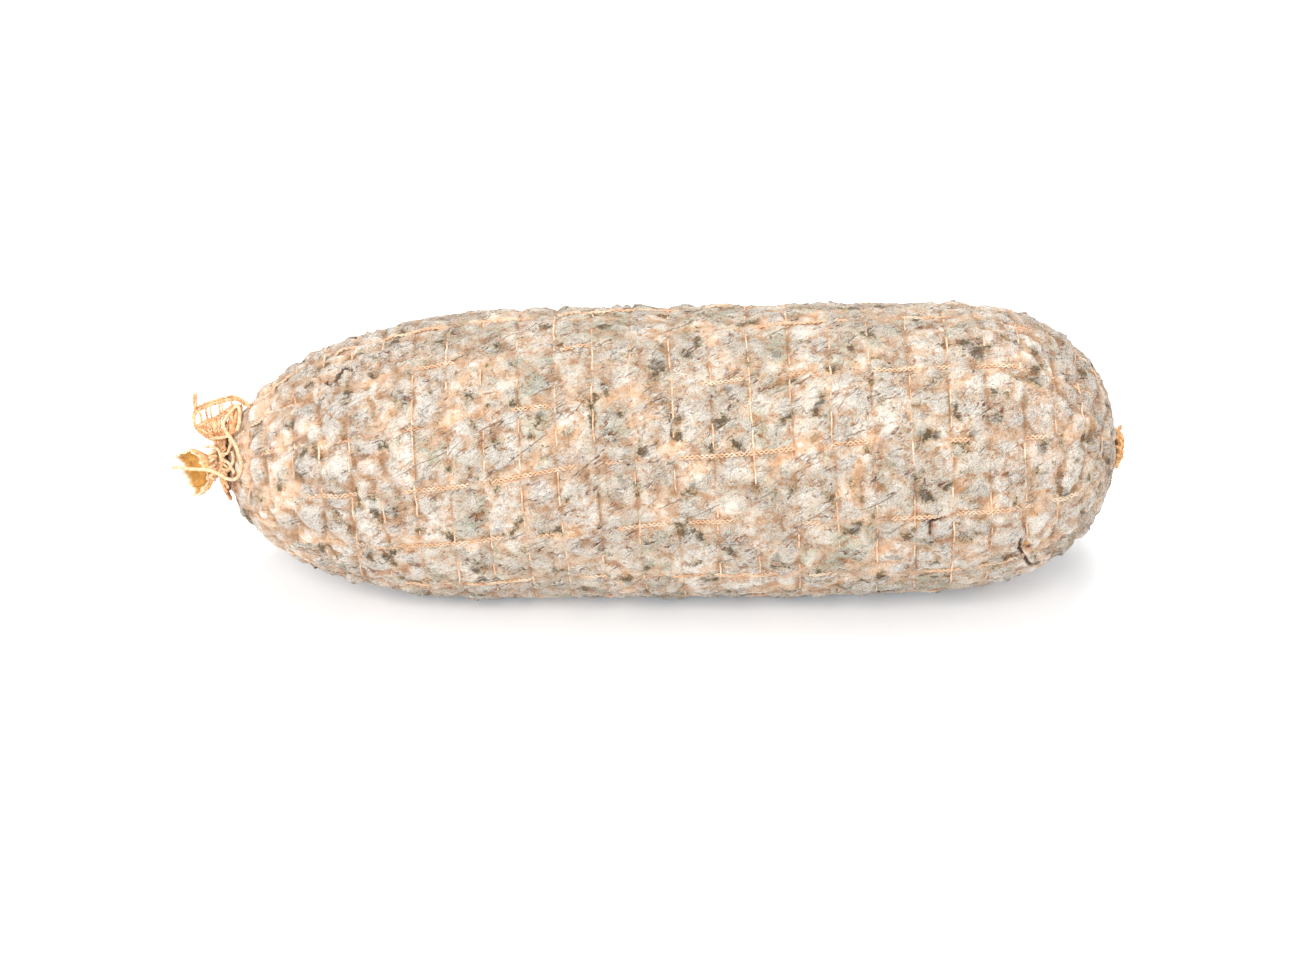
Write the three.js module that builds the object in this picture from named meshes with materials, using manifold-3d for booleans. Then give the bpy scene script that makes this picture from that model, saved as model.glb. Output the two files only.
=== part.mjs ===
// A whole bresaola: a cured beef muscle in its casing, dried in a tubular string net.
// It lies along X, with the tied end towards -X and the blunt end towards +X.
// Millimetres, +Z up. The origin is under the middle of its length, on the surface it lies on.
// The front of the piece, where its shown side is, faces -Y.

import * as THREE from "three";
import { mergeVertices } from "three/addons/utils/BufferGeometryUtils.js";
import Module from "manifold-3d";

const wasm = await Module();
wasm.setup();

// Driving dimensions.
const GIRTH_RADIUS = 52.3; // of the meat over its casing, at the middle
const AXIS_Z = 51; // the meat has settled by about the height of its pillows
const NECK_X = -153; // where the casing leaves the tie and starts to widen
const TAPER_X = -151.7; // the tapered end's own tip, inside the neck
const TAPER_LENGTH = 104; // the tied end reaches its full girth over this length
const TAPER_POWER = 2.2; // above 2 it is fuller than an ellipse
const BLUNT_X = 168.9; // the blunt end's pole
const BLUNT_LENGTH = 68; // the blunt end rounds off over this length
const BLUNT_POWER = 2.7; // above 2 it is flatter than an ellipse at its pole
const BLUNT_RISE = 2; // its axis is higher at the blunt end's pole than at the middle
const BLUNT_RISE_START_X = -40;
const NECK_RADIUS = 2.5; // of the gathered casing, under the tie
const NECK_DROP = 4.5; // the tied end hangs lower than the meat's axis
const NECK_DROP_LENGTH = 125;
const HEEL_START_X = 60; // from here on the underside of the blunt end rises
const HEEL_LIFT = 0.12;
const FULLNESS = 0.012; // the meat is this share thicker right of its middle

// The net: hoops round the meat, held at their distance by strands along it.
const HOOPS = 30;
const STRANDS = 13;
const FIRST_HOOP = 2.4; // along the surface, from the neck
const LAST_HOOP_RADIUS = 6.5; // the net is gathered inside its last hoop
const PITCH_SWELL = 0.1; // hoops are further apart right of the middle
const HOOP_LEAN = 3.6; // each hoop is skewed along X by this much, to either side
const START_TURN = -0.103; // radians, of the first strand at the middle
const TWIST = 0.00157; // radians of turn for each millimetre along X
const TWIST_SWAY = 0.05; // radians: it turns faster left of the middle
const SPREAD = 0.11; // radians: strands crowd on one side at one end, and on the other at the other
const STRAND_WANDER = 0.015; // radians
const HOOP_WIDTH = 1.2;
const STRAND_WIDTH = 2;
const NET_DEPTH = 1.1;
const GROOVE_DEPTH = 1.8; // the net has cut into the meat by this much
const GAP = 0.3; // between pieces that touch
const PRESSED_GROOVE_Z = NET_DEPTH + GAP + 0.4; // keeps the net above the surface below

// Pillows of meat that bulge between the net's cords.
const PILLOW_RISE = 0.3;
const PILLOW_UNEVEN = 0.55;
const END_PILLOW_RISE = 0.7; // they stand higher towards both ends
const PILLOW_COLUMNS = 3; // mesh columns for each pillow
const NARROW_RADIUS = 24; // where the meat is thinner, its pillows stand less high

// The loose ends are laid out in a plane that leans back from upright.
const END_LEAN = THREE.MathUtils.degToRad(28);
const NECK_Z = AXIS_Z - NECK_DROP;
const STRING_RADIUS = 0.65;
const COLLAR_WALL = 0.8; // the net gathered under the tie
const TIE_X = -154.9;
const KNOT_STAND = 0.75; // the end knot's middle, beyond the blunt pole
const NET_CORD_RADIUS = 0.6;

// ---- The meat's surface ----

// Seeded by its two numbers alone, from 0 to 1.
function scatter(i, j) {
  const value = Math.sin(i * 12.9898 + j * 78.233) * 43758.5453;
  return value - Math.floor(value);
}

// Radius of the plain body of revolution at x.
function girth(x) {
  const taper = Math.min(1, Math.max(0, (x - TAPER_X) / TAPER_LENGTH));
  const blunt = Math.min(1, Math.max(0, (BLUNT_X - x) / BLUNT_LENGTH));
  const tied = Math.sqrt(1 - (1 - taper) ** TAPER_POWER);
  const round = Math.sqrt(1 - (1 - blunt) ** BLUNT_POWER);
  const full = 1 + FULLNESS * Math.sin((x - 20) / 60) * tied;
  const body = GIRTH_RADIUS * tied * round * full;
  return (body ** 3 + (NECK_RADIUS * round) ** 3) ** (1 / 3);
}

// The outline as points with their length along the surface, closer together at both ends.
const OUTLINE_STEPS = 1600;
const outline = [];
for (let k = 0, length = 0; k <= OUTLINE_STEPS; k++) {
  const share = (1 - Math.cos((Math.PI * k) / OUTLINE_STEPS)) / 2;
  const x = NECK_X + (BLUNT_X - NECK_X) * share;
  const r = girth(x);
  const last = outline[k - 1];
  if (last) length += Math.hypot(x - last.x, r - last.r);
  outline.push({ x, r, length });
}
const lastRing = outline.findLast((point) => point.r > LAST_HOOP_RADIUS);
const NET_LENGTH = lastRing.length - FIRST_HOOP;

// Place and outward direction on the outline, at a length from the neck.
function onOutline(length) {
  let low = 0;
  let high = OUTLINE_STEPS;
  while (high - low > 1) {
    const middle = (low + high) >> 1;
    if (outline[middle].length > length) high = middle;
    else low = middle;
  }
  const [p, q] = [outline[low], outline[high]];
  const step = q.length - p.length;
  const share = (length - p.length) / step;
  return {
    x: p.x + (q.x - p.x) * share,
    r: p.r + (q.r - p.r) * share,
    outX: -(q.r - p.r) / step,
    outR: (q.x - p.x) / step,
  };
}

// Length from the neck of hoop number a, where a may lie between two hoops.
function hoopLength(a) {
  const share = a / (HOOPS - 1);
  const phase = 2 * Math.PI * 0.34;
  const swell = Math.cos(2 * Math.PI * share - phase) - Math.cos(phase);
  return FIRST_HOOP + NET_LENGTH * (share - (PITCH_SWELL / (2 * Math.PI)) * swell);
}

// A frame on the surface at hoop a and strand b: its point, and the directions out, along and round.
function surface(a, b) {
  const plain = hoopLength(a);
  const plainX = onOutline(plain).x;
  const inward = Math.sin(Math.PI * Math.min(1, Math.max(0, plain / (NET_LENGTH + FIRST_HOOP))));
  const place = (2 * Math.PI * b) / STRANDS;
  const sway = TWIST_SWAY * Math.sin((plainX + 60) / 57);
  const spread = SPREAD * Math.sin(place - 0.58) * Math.sin((plainX - 25) / 60) * inward;
  const wander = STRAND_WANDER * Math.sin(0.9 * a + 2.4 * Math.round(b)) * inward;
  const angle = place + START_TURN + TWIST * plainX + sway + spread + wander;
  const lean = -HOOP_LEAN * Math.sin(angle) * inward;
  const { x, r, outX, outR } = onOutline(plain + lean);
  const up = Math.sin(angle);
  const front = Math.cos(angle);
  const heel = Math.max(0, x - HEEL_START_X) / (BLUNT_X - HEEL_START_X);
  const radius = r * (1 - HEEL_LIFT * heel * Math.max(0, -up));
  const drop = NECK_DROP * Math.max(0, 1 - (x - NECK_X) / NECK_DROP_LENGTH) ** 1.3;
  const rise = (BLUNT_RISE * Math.max(0, x - BLUNT_RISE_START_X)) / (BLUNT_X - BLUNT_RISE_START_X);
  return {
    x,
    point: new THREE.Vector3(x, -radius * front, AXIS_Z - drop + rise + radius * up),
    out: new THREE.Vector3(outX, -outR * front, outR * up),
    along: new THREE.Vector3(outR, outX * front, -outX * up),
    round: new THREE.Vector3(0, up, front),
  };
}

// The bottom of the groove under the net. Below, the meat's weight presses net and groove upwards.
function groove(a, b) {
  const { point, out } = surface(a, b);
  const bottom = point.clone().addScaledVector(out, -GROOVE_DEPTH);
  bottom.z = Math.max(bottom.z, PRESSED_GROOVE_Z);
  return bottom;
}

function crest(a, b) {
  const { x, point, out } = surface(a, b);
  const end = Math.min(1, Math.abs(x - 10) / 140) ** 2;
  const uneven = scatter(Math.floor(a), Math.floor(b)) - 0.5;
  const rise = PILLOW_RISE + END_PILLOW_RISE * end + PILLOW_UNEVEN * uneven;
  const narrow = Math.min(1, girth(x) / NARROW_RADIUS);
  return point.addScaledVector(out, rise * narrow - (1 - narrow));
}

// ---- Mesh helpers ----

function toSolid(geometry) {
  const bare = geometry.clone();
  bare.deleteAttribute("normal");
  bare.deleteAttribute("uv");
  const merged = mergeVertices(bare, 1e-4);
  return new wasm.Manifold(
    new wasm.Mesh({
      numProp: 3,
      vertProperties: merged.attributes.position.array,
      triVerts: new Uint32Array(merged.index.array),
    }),
  );
}

function toGeometry(solid) {
  const { vertProperties, triVerts } = solid.getMesh();
  const geometry = new THREE.BufferGeometry();
  geometry.setAttribute("position", new THREE.BufferAttribute(vertProperties, 3));
  geometry.setIndex(new THREE.BufferAttribute(triVerts, 1));
  geometry.computeVertexNormals();
  return geometry;
}

// Collects shared points and faces of a closed surface.
class Skin {
  points = [];
  faces = [];

  add(point) {
    this.points.push(point.x, point.y, point.z);
    return this.points.length / 3 - 1;
  }

  triangle(a, b, c) {
    this.faces.push(a, b, c);
  }

  quad(a, b, c, d) {
    this.faces.push(a, b, c, a, c, d);
  }

  geometry() {
    const made = new THREE.BufferGeometry();
    made.setAttribute("position", new THREE.Float32BufferAttribute(this.points, 3));
    made.setIndex(this.faces);
    return made;
  }
}

// A cord of round section along a smooth curve through the points.
function cord(points, radius, steps, sides, closed = false) {
  const path = new THREE.CatmullRomCurve3(points, closed, "centripetal");
  if (closed) return new THREE.TubeGeometry(path, steps, radius, sides, true);
  const section = new THREE.Shape();
  for (let k = 0; k < sides; k++) {
    const turn = (2 * Math.PI * k) / sides;
    const corner = [radius * Math.cos(turn), radius * Math.sin(turn)];
    if (k) section.lineTo(...corner);
    else section.moveTo(...corner);
  }
  return new THREE.ExtrudeGeometry(section, { steps, bevelEnabled: false, extrudePath: path });
}

function joined(geometries) {
  return geometries.map(toSolid).reduce((whole, piece) => whole.add(piece));
}

// A point of the loose ends, in their leaning plane: its x, its height over the neck and how far in front it is.
function looseEnd(x, up, front) {
  return new THREE.Vector3(
    x,
    up * Math.sin(END_LEAN) - front * Math.cos(END_LEAN),
    NECK_Z + up * Math.cos(END_LEAN) + front * Math.sin(END_LEAN),
  );
}

// The same, resting on the front of the meat's shoulder, a height above its skin.
function onShoulder(x, up, height) {
  return looseEnd(x, up, Math.sqrt(Math.max(0, girth(x) ** 2 - up ** 2)) + height);
}

// ---- The casing's cut end, beyond the tie ----

const TAIL_LENGTH = 9.2;
const TAIL_WALL = 0.7;
const TAIL_START = looseEnd(-158, 0, 0);
const TAIL_AXIS = looseEnd(-0.85, -0.35, 0.2).sub(looseEnd(0, 0, 0)).normalize();
const TAIL_UP = looseEnd(-0.5, 0.87, 0).sub(looseEnd(0, 0, 0)).projectOnPlane(TAIL_AXIS).normalize();
const TAIL_FRONT = new THREE.Vector3().crossVectors(TAIL_UP, TAIL_AXIS);
const MOUTH_SLANT = 1.8; // the front lip is cut back, so that the mouth opens to the front

// A point of the flattened, flared tube: share 0 at the tie and 1 at its mouth.
function tailPoint(share, column, inset) {
  const angle = (2 * Math.PI * column) / (STRANDS * PILLOW_COLUMNS);
  const flare = Math.sin((Math.PI / 2) * Math.min(1, share * 1.5));
  const tall = THREE.MathUtils.lerp(NECK_RADIUS, 7.9, flare) - inset;
  const deep = THREE.MathUtils.lerp(NECK_RADIUS, 3.9, flare) - inset;
  const square = 1 - 0.12 * flare * Math.cos(4 * angle);
  const ruffle = 1 + 0.06 * flare * Math.sin(5 * angle + 1);
  const dent = 1 - 0.55 * share * Math.max(0, Math.cos(angle)) ** 4;
  const length = TAIL_LENGTH * share - MOUTH_SLANT * share ** 2 * Math.cos(angle);
  return TAIL_START.clone()
    .addScaledVector(TAIL_AXIS, length)
    .addScaledVector(TAIL_UP, tall * square * ruffle * Math.sin(angle))
    .addScaledVector(TAIL_FRONT, deep * square * dent * Math.cos(angle));
}

// ---- Meat in its casing: one closed skin from the bottom of the cut end's pocket to the blunt pole ----

function curedMeat() {
  const skin = new Skin();
  const columns = STRANDS * PILLOW_COLUMNS;
  const rings = [];
  const addRing = (pointAt) =>
    rings.push(Array.from({ length: columns }, (_, column) => skin.add(pointAt(column))));
  const mix = (p, q, share) => p.clone().lerp(q, share);

  for (const share of [0.55, 0.8, 1]) addRing((column) => tailPoint(share, column, TAIL_WALL));
  for (const share of [1.03, 0.8, 0.5, 0.22]) addRing((column) => tailPoint(share, column, 0));
  for (const x of [TAIL_START.x + 1.2, NECK_X]) {
    addRing((column) => {
      const angle = (2 * Math.PI * column) / columns;
      const up = NECK_RADIUS * Math.sin(angle);
      return new THREE.Vector3(x, -NECK_RADIUS * Math.cos(angle), NECK_Z + up);
    });
  }
  for (let hoop = 0; hoop < HOOPS; hoop++) {
    addRing((column) => {
      const b = Math.floor(column / PILLOW_COLUMNS);
      return mix(groove(hoop, b), groove(hoop, b + 1), (column % PILLOW_COLUMNS) / PILLOW_COLUMNS);
    });
    if (hoop === HOOPS - 1) break;
    addRing((column) => {
      const b = column / PILLOW_COLUMNS;
      if (column % PILLOW_COLUMNS) return crest(hoop + 0.5, b);
      return mix(groove(hoop, b), groove(hoop + 1, b), 0.5);
    });
  }
  const pocket = skin.add(tailPoint(0.4, 0, 0).lerp(tailPoint(0.4, columns / 2, 0), 0.5));
  const pole = skin.add(new THREE.Vector3(BLUNT_X - 0.9, 0, AXIS_Z + BLUNT_RISE));
  for (let column = 0; column < columns; column++) {
    const next = (column + 1) % columns;
    skin.triangle(pocket, rings[0][column], rings[0][next]);
    skin.triangle(pole, rings.at(-1)[next], rings.at(-1)[column]);
    for (let k = 1; k < rings.length; k++)
      skin.quad(rings[k - 1][column], rings[k][column], rings[k][next], rings[k - 1][next]);
  }
  const floor = new THREE.BoxGeometry(400, 200, 20).translate(0, 0, -10);
  return toGeometry(toSolid(skin.geometry()).subtract(toSolid(floor)));
}

// ---- The net over the meat: a lattice of flat-topped cords whose crossings share their corners ----

function netLattice() {
  const skin = new Skin();
  const cordPoint = (a, b, alongBy, roundBy, height) => {
    const { out, along, round } = surface(a, b);
    return skin.add(
      groove(a, b)
        .addScaledVector(out, height)
        .addScaledVector(along, alongBy)
        .addScaledVector(round, roundBy),
    );
  };
  const top = GAP + NET_DEPTH;
  const hoopHalf = HOOP_WIDTH / 2;
  const crossing = [];
  for (let a = 0; a < HOOPS; a++) {
    crossing.push([]);
    for (let b = 0; b < STRANDS; b++) {
      const room = surface(a, b).point.distanceTo(surface(a, b + 0.5).point);
      const half = Math.min(STRAND_WIDTH / 2, 0.22 * room);
      crossing[a].push({
        inner: cordPoint(a, b, 0, 0, GAP),
        lowLeft: cordPoint(a, b, -hoopHalf, -half, top),
        lowRight: cordPoint(a, b, hoopHalf, -half, top),
        highLeft: cordPoint(a, b, -hoopHalf, half, top),
        highRight: cordPoint(a, b, hoopHalf, half, top),
      });
    }
  }
  // One length of cord between two places: its top, and the two sides that meet along its inner edge.
  const length = (from, to, innerFrom, innerTo) => {
    skin.quad(from[0], to[0], to[1], from[1]);
    skin.quad(from[1], to[1], innerTo, innerFrom);
    skin.quad(from[0], innerFrom, innerTo, to[0]);
  };
  for (let a = 0; a < HOOPS; a++) {
    for (let b = 0; b < STRANDS; b++) {
      const here = crossing[a][b];
      const above = crossing[a][(b + 1) % STRANDS];
      skin.quad(here.lowLeft, here.lowRight, here.highRight, here.highLeft);
      length(
        [here.highRight, here.highLeft],
        [above.lowRight, above.lowLeft],
        here.inner,
        above.inner,
      );
      if (a === 0) skin.triangle(here.lowLeft, here.highLeft, here.inner);
      if (a === HOOPS - 1) skin.triangle(here.highRight, here.lowRight, here.inner);
      else {
        const next = crossing[a + 1][b];
        length(
          [here.lowRight, here.highRight],
          [next.lowLeft, next.highLeft],
          here.inner,
          next.inner,
        );
      }
    }
  }
  return skin.geometry();
}

// The net drawn together round the casing's neck, under the tie.
function netCollar() {
  const inner = NECK_RADIUS + 1.5 * GAP;
  const outer = inner + COLLAR_WALL;
  const profile = [
    [inner, TAIL_START.x + 1.4],
    [outer, TAIL_START.x + 1.4],
    [outer, NECK_X + 1.6],
    [inner, NECK_X + 1.6],
    [inner, TAIL_START.x + 1.4],
  ].map(([radius, x]) => new THREE.Vector2(radius, x));
  return new THREE.LatheGeometry(profile, STRANDS).rotateZ(-Math.PI / 2).translate(0, 0, NECK_Z);
}

// ---- The net's open end: pulled out over the tie, and fanned out over the meat's shoulder ----

function netFan() {
  const rim = [
    looseEnd(-163.6, 15.2, 1),
    looseEnd(-163.2, 18, 1.5),
    looseEnd(-160.3, 20.8, 1),
    looseEnd(-153.2, 22.7, 0),
    looseEnd(-149.6, 24, 1),
    looseEnd(-147.2, 23.6, 3),
    looseEnd(-144.5, 22.4, 6),
    onShoulder(-141.3, 20.6, 2.5),
  ];
  const hem = [
    looseEnd(-163.6, 15.2, 1),
    looseEnd(-161, 12.4, 2),
    looseEnd(-158.4, 10.8, 2.5),
    looseEnd(-154.6, 12.3, 3),
    looseEnd(-151.4, 15.9, 3),
  ];
  const fold = [
    looseEnd(-145.5, 22, 5),
    looseEnd(-148.4, 18.8, 6),
    looseEnd(-151.4, 15.9, 3),
    looseEnd(-152, 12, 1.5),
    looseEnd(-151.6, 8, 0),
    looseEnd(-151.6, 3.5, -0.6),
  ];
  const rungs = [
    [rim[2], hem[2]],
    [looseEnd(-156.6, 21.7, 0.6), hem[3]],
    [rim[3], hem[4]],
    [rim[5], fold[1]],
    [looseEnd(-163.4, 25, 2), looseEnd(-163, 17.6, 1.5)],
  ];
  return [
    cord(rim, NET_CORD_RADIUS, 14, 6),
    cord(hem, NET_CORD_RADIUS, 8, 6),
    cord(fold, NET_CORD_RADIUS, 10, 6),
    ...rungs.map((ends) => cord(ends, 0.7 * NET_CORD_RADIUS, 1, 4)),
  ];
}

function net() {
  return toGeometry(joined([netLattice(), netCollar(), ...netFan()]));
}

// ---- The tie: string wound round the neck, with one loop over the shoulder and a free end ----

function tieString() {
  const reach = NECK_RADIUS + 1.5 * GAP + COLLAR_WALL + GAP + STRING_RADIUS;
  const turns = [-2.2, 0, 2.2].map((along, k) => {
    const tilt = 0.12 * Math.sin(5 * k + 1);
    return new THREE.TorusGeometry(reach + 0.15, STRING_RADIUS, 6, 14)
      .rotateY(Math.PI / 2 + tilt)
      .translate(TIE_X + 0.58 * along, 0, NECK_Z);
  });
  const path = [
    looseEnd(-151.6, 16.6, 5.2),
    looseEnd(-150.8, 13.2, 9.5),
    onShoulder(-147.2, 9, 2.8),
    onShoulder(-144.5, 4.4, 2.6),
    onShoulder(-143.5, 0.8, 2.6),
    onShoulder(-143.8, -2.1, 2.6),
    onShoulder(-145.6, -4.6, 2.8),
    onShoulder(-148.2, -5.2, 3.2),
    looseEnd(-151.9, -4.1, 9),
    looseEnd(-154.6, -2.7, reach),
    looseEnd(-157.5, -1.9, reach + 0.4),
    looseEnd(-161.1, -1.8, 6.6),
    looseEnd(-166.7, -1.8, 6.8),
    looseEnd(-170.6, -1, 6.4),
  ];
  return toGeometry(joined([...turns, cord(path, STRING_RADIUS, 30, 6)]));
}

// ---- The net's other end, drawn up and knotted on the blunt pole ----

function endKnot() {
  const ring = new THREE.TorusGeometry(4.5, 1.4, 6, 18).scale(1, 1, 0.7);
  const core = new THREE.SphereGeometry(4, 12, 6).scale(1, 1, 0.32);
  const whole = joined([ring, core]);
  const geometry = toGeometry(whole);
  return geometry.rotateY(Math.PI / 2).translate(BLUNT_X + KNOT_STAND, 0, AXIS_Z + BLUNT_RISE);
}

const root = new THREE.Group();

function addPiece(name, geometry, colour, roughness) {
  const material = new THREE.MeshStandardMaterial({ color: colour, roughness, metalness: 0 });
  const mesh = new THREE.Mesh(geometry, material);
  mesh.name = name;
  root.add(mesh);
}

addPiece("cured_meat", curedMeat(), "#dac6af", 0.95);
addPiece("net", net(), "#e0b98f", 0.9);
addPiece("tie_string", tieString(), "#e7cfae", 0.9);
addPiece("end_knot", endKnot(), "#eec7a0", 0.9);

export default root;
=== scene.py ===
import math

import bpy
import numpy as np
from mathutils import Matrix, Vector, noise


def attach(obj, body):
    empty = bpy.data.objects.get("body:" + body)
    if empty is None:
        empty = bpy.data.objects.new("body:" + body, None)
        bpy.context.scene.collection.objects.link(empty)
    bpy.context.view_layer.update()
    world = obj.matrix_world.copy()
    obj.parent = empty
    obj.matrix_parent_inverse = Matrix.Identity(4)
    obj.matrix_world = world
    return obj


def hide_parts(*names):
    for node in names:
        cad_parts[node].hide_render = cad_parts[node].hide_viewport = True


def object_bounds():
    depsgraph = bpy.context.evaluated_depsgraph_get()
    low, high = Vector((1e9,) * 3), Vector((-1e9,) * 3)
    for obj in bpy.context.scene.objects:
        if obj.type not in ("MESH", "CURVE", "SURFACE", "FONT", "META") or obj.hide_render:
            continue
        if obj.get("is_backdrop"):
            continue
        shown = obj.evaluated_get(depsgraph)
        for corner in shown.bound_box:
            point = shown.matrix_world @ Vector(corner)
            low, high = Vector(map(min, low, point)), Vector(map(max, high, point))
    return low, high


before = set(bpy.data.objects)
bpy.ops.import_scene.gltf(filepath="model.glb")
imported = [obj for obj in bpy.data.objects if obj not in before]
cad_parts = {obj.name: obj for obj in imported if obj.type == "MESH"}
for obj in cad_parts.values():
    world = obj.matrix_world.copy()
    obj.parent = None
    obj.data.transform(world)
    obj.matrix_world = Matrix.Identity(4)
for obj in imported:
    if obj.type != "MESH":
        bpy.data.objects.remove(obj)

cad_low, cad_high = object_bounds()

# ---- Camera ----
# It stands in front of the piece and looks down on it. It aims a little below the middle of the
# piece, which therefore lies in the upper half of the picture.
camera = bpy.data.objects.new("camera", bpy.data.cameras.new("camera"))
bpy.context.collection.objects.link(camera)
bpy.context.scene.camera = camera
camera.data.lens = 85
camera.data.sensor_width = 36
camera_height = math.radians(28)  # seen from the middle of the piece
aim_below = math.radians(0.73)
camera_distance = 1.106
camera_right = Vector((0.0013, 0, 0))
camera_back = Vector((0, -math.cos(camera_height), math.sin(camera_height)))
camera.location = (cad_low + cad_high) / 2 + camera_distance * camera_back + camera_right
camera.rotation_euler = (math.pi / 2 - camera_height - aim_below, 0, 0)
camera.data.clip_start = 0.05
camera.data.clip_end = 30

# ---- Floor and light ----
# A white acrylic sheet that glows a little, as on a light table, in a bright room with four soft
# boxes: a strong one in front, one overhead and a weak one beyond each end. The glow keeps the
# shadow short and grey.


def linear(colour):
    """An sRGB hex colour as linear red, green, blue and alpha."""
    parts = [int(colour[k : k + 2], 16) / 255 for k in (1, 3, 5)]
    return [p / 12.92 if p <= 0.04045 else ((p + 0.055) / 1.055) ** 2.4 for p in parts] + [1]


def add(material, kind, inputs=None, **settings):
    """Adds a node of this kind to the material, sets it and fills or links its inputs."""
    made = material.node_tree.nodes.new("ShaderNode" + kind)
    for name, value in settings.items():
        setattr(made, name, value)
    for name, value in (inputs or {}).items():
        named = [socket for socket in made.inputs if socket.enabled and socket.name == name]
        socket = named[0] if named else made.inputs[name]
        if isinstance(value, bpy.types.Node):
            value = next(output for output in value.outputs if output.enabled)
        if isinstance(value, bpy.types.NodeSocket):
            material.node_tree.links.new(value, socket)
        else:
            socket.default_value = value
    return made


def new_material(name):
    """A material with no nodes yet."""
    material = bpy.data.materials.new(name)
    material.use_nodes = True
    material.node_tree.nodes.clear()
    return material


acrylic = new_material("white_glowing_acrylic")
acrylic_grain = add(acrylic, "TexNoise", {"Scale": 1000 / 0.8, "Detail": 2})
acrylic_bump = add(acrylic, "Bump", {"Strength": 0.05, "Distance": 0.0001, "Height": acrylic_grain})
acrylic_look = {
    "Base Color": linear("#f7f7f7"),
    "Roughness": 0.95,
    "Emission Color": linear("#c4d8ec"),
    "Emission Strength": 0.19,
    "Normal": acrylic_bump,
}
add(acrylic, "OutputMaterial", {"Surface": add(acrylic, "BsdfPrincipled", acrylic_look)})

sheet = bpy.data.meshes.new("light_table")
sheet_reach = 6.0
sheet_z = -0.0001  # just clear of the pressed underside
sheet.from_pydata(
    [(x * sheet_reach, y * sheet_reach, sheet_z) for x, y in ((-1, -1), (1, -1), (1, 1), (-1, 1))],
    [],
    [(0, 1, 2, 3)],
)
floor = bpy.data.objects.new("light_table", sheet)
bpy.context.collection.objects.link(floor)
sheet.materials.append(acrylic)
floor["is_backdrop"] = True

world = bpy.data.worlds.new("bright_room")
bpy.context.scene.world = world
world.use_nodes = True
world.node_tree.nodes["Background"].inputs["Color"].default_value = linear("#fffefc")
world.node_tree.nodes["Background"].inputs["Strength"].default_value = 0.585
bpy.context.scene.view_settings.view_transform = "Standard"


def soft_box(name, size, watts, place, colour):
    """A square lamp that faces the middle of the piece."""
    lamp = bpy.data.objects.new(name, bpy.data.lights.new(name, "AREA"))
    bpy.context.collection.objects.link(lamp)
    lamp.data.size = size
    lamp.data.energy = watts
    lamp.data.color = linear(colour)[:3]
    lamp.location = place
    lamp.rotation_euler = Vector(place).to_track_quat("Z", "Y").to_euler()


soft_box("overhead_soft_box", 0.7, 12, (0.05, 0.08, 1.3), "#fffdfa")
soft_box("front_soft_box", 0.7, 15.5, (-0.3, -1.25, 1.0), "#fffefc")
soft_box("left_soft_box", 0.8, 4.5, (-1.15, -0.5, 0.5), "#fffefc")
soft_box("right_soft_box", 0.8, 2.5, (1.15, -0.35, 0.5), "#fffefc")

# ---- Meat in its casing ----
# One long cured muscle in a natural casing, dried until the net has pressed pillows into it. The
# casing is coated with white, grey-green and dark mould, and peach fat shows where that is thin.
MM = 0.001  # the sizes from here on are in millimetres
GIRTH_RADIUS = 52.3
FULLNESS = 0.012  # share by which the middle bulges and sags
AXIS_Z = 51.0
NECK_X = -153.0  # where the casing leaves the tie
NECK_RADIUS = 2.5
NECK_DROP = 4.5  # the tied end hangs lower than the axis
NECK_DROP_LENGTH = 125.0
NECK_Z = AXIS_Z - NECK_DROP
TAPER_X = -151.7  # the tied end widens from here
TAPER_LENGTH = 104.0
TAPER_POWER = 2.2
BLUNT_X = 168.9  # the pole of the blunt end
BLUNT_LENGTH = 68.0
BLUNT_POWER = 2.7
BLUNT_RISE = 2.0  # the blunt end stands higher than the axis
BLUNT_RISE_START_X = -40.0
HEEL_START_X = 60.0  # towards the blunt end the underside draws up
HEEL_LIFT = 0.12
HOOPS = 30
STRANDS = 13
FIRST_HOOP = 2.4  # along the surface from the neck
LAST_HOOP_RADIUS = 6.5
HOOPS_EVEN_AT = 0.34  # share of the net's length at which its cells have their mean length
HOOPS_UNEVEN = 0.1  # share by which cells elsewhere are longer or shorter
HOOP_SLANT = 3.6  # how much nearer to the neck a hoop lies on top than at half height
NET_TURN = -0.103  # turn of the first strand where x is 0, in radians upward from the front
NET_TWIST = 0.00157  # turn of all strands for each millimetre along the piece
NET_SWAY = 0.05  # turn by which all strands sway together,
NET_SPREAD = 0.11  # by which they spread apart,
STRAND_WANDER = 0.015  # and by which each wanders alone


def girth(x):
    """Radius of the plain shape at x, without pillows."""
    taper = np.clip((x - TAPER_X) / TAPER_LENGTH, 0, 1)
    blunt = np.clip((BLUNT_X - x) / BLUNT_LENGTH, 0, 1)
    tied = np.sqrt(1 - (1 - taper) ** TAPER_POWER)
    rounded = np.sqrt(1 - (1 - blunt) ** BLUNT_POWER)
    body = GIRTH_RADIUS * tied * rounded * (1 + FULLNESS * np.sin((x - 20) / 60) * tied)
    return np.cbrt(body**3 + (NECK_RADIUS * rounded) ** 3)


# The outline from the neck to the blunt pole, and its length along the surface.
outline_x = NECK_X + (BLUNT_X - NECK_X) * (1 - np.cos(np.linspace(0, np.pi, 1601))) / 2
outline_r = girth(outline_x)
outline_step = np.hypot(np.diff(outline_x), np.diff(outline_r))
outline_length = np.concatenate([[0], np.cumsum(outline_step)])
outline_out_x = -np.gradient(outline_r, outline_length)
outline_out_r = np.gradient(outline_x, outline_length)
net_length = outline_length[outline_r > LAST_HOOP_RADIUS][-1] - FIRST_HOOP


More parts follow.
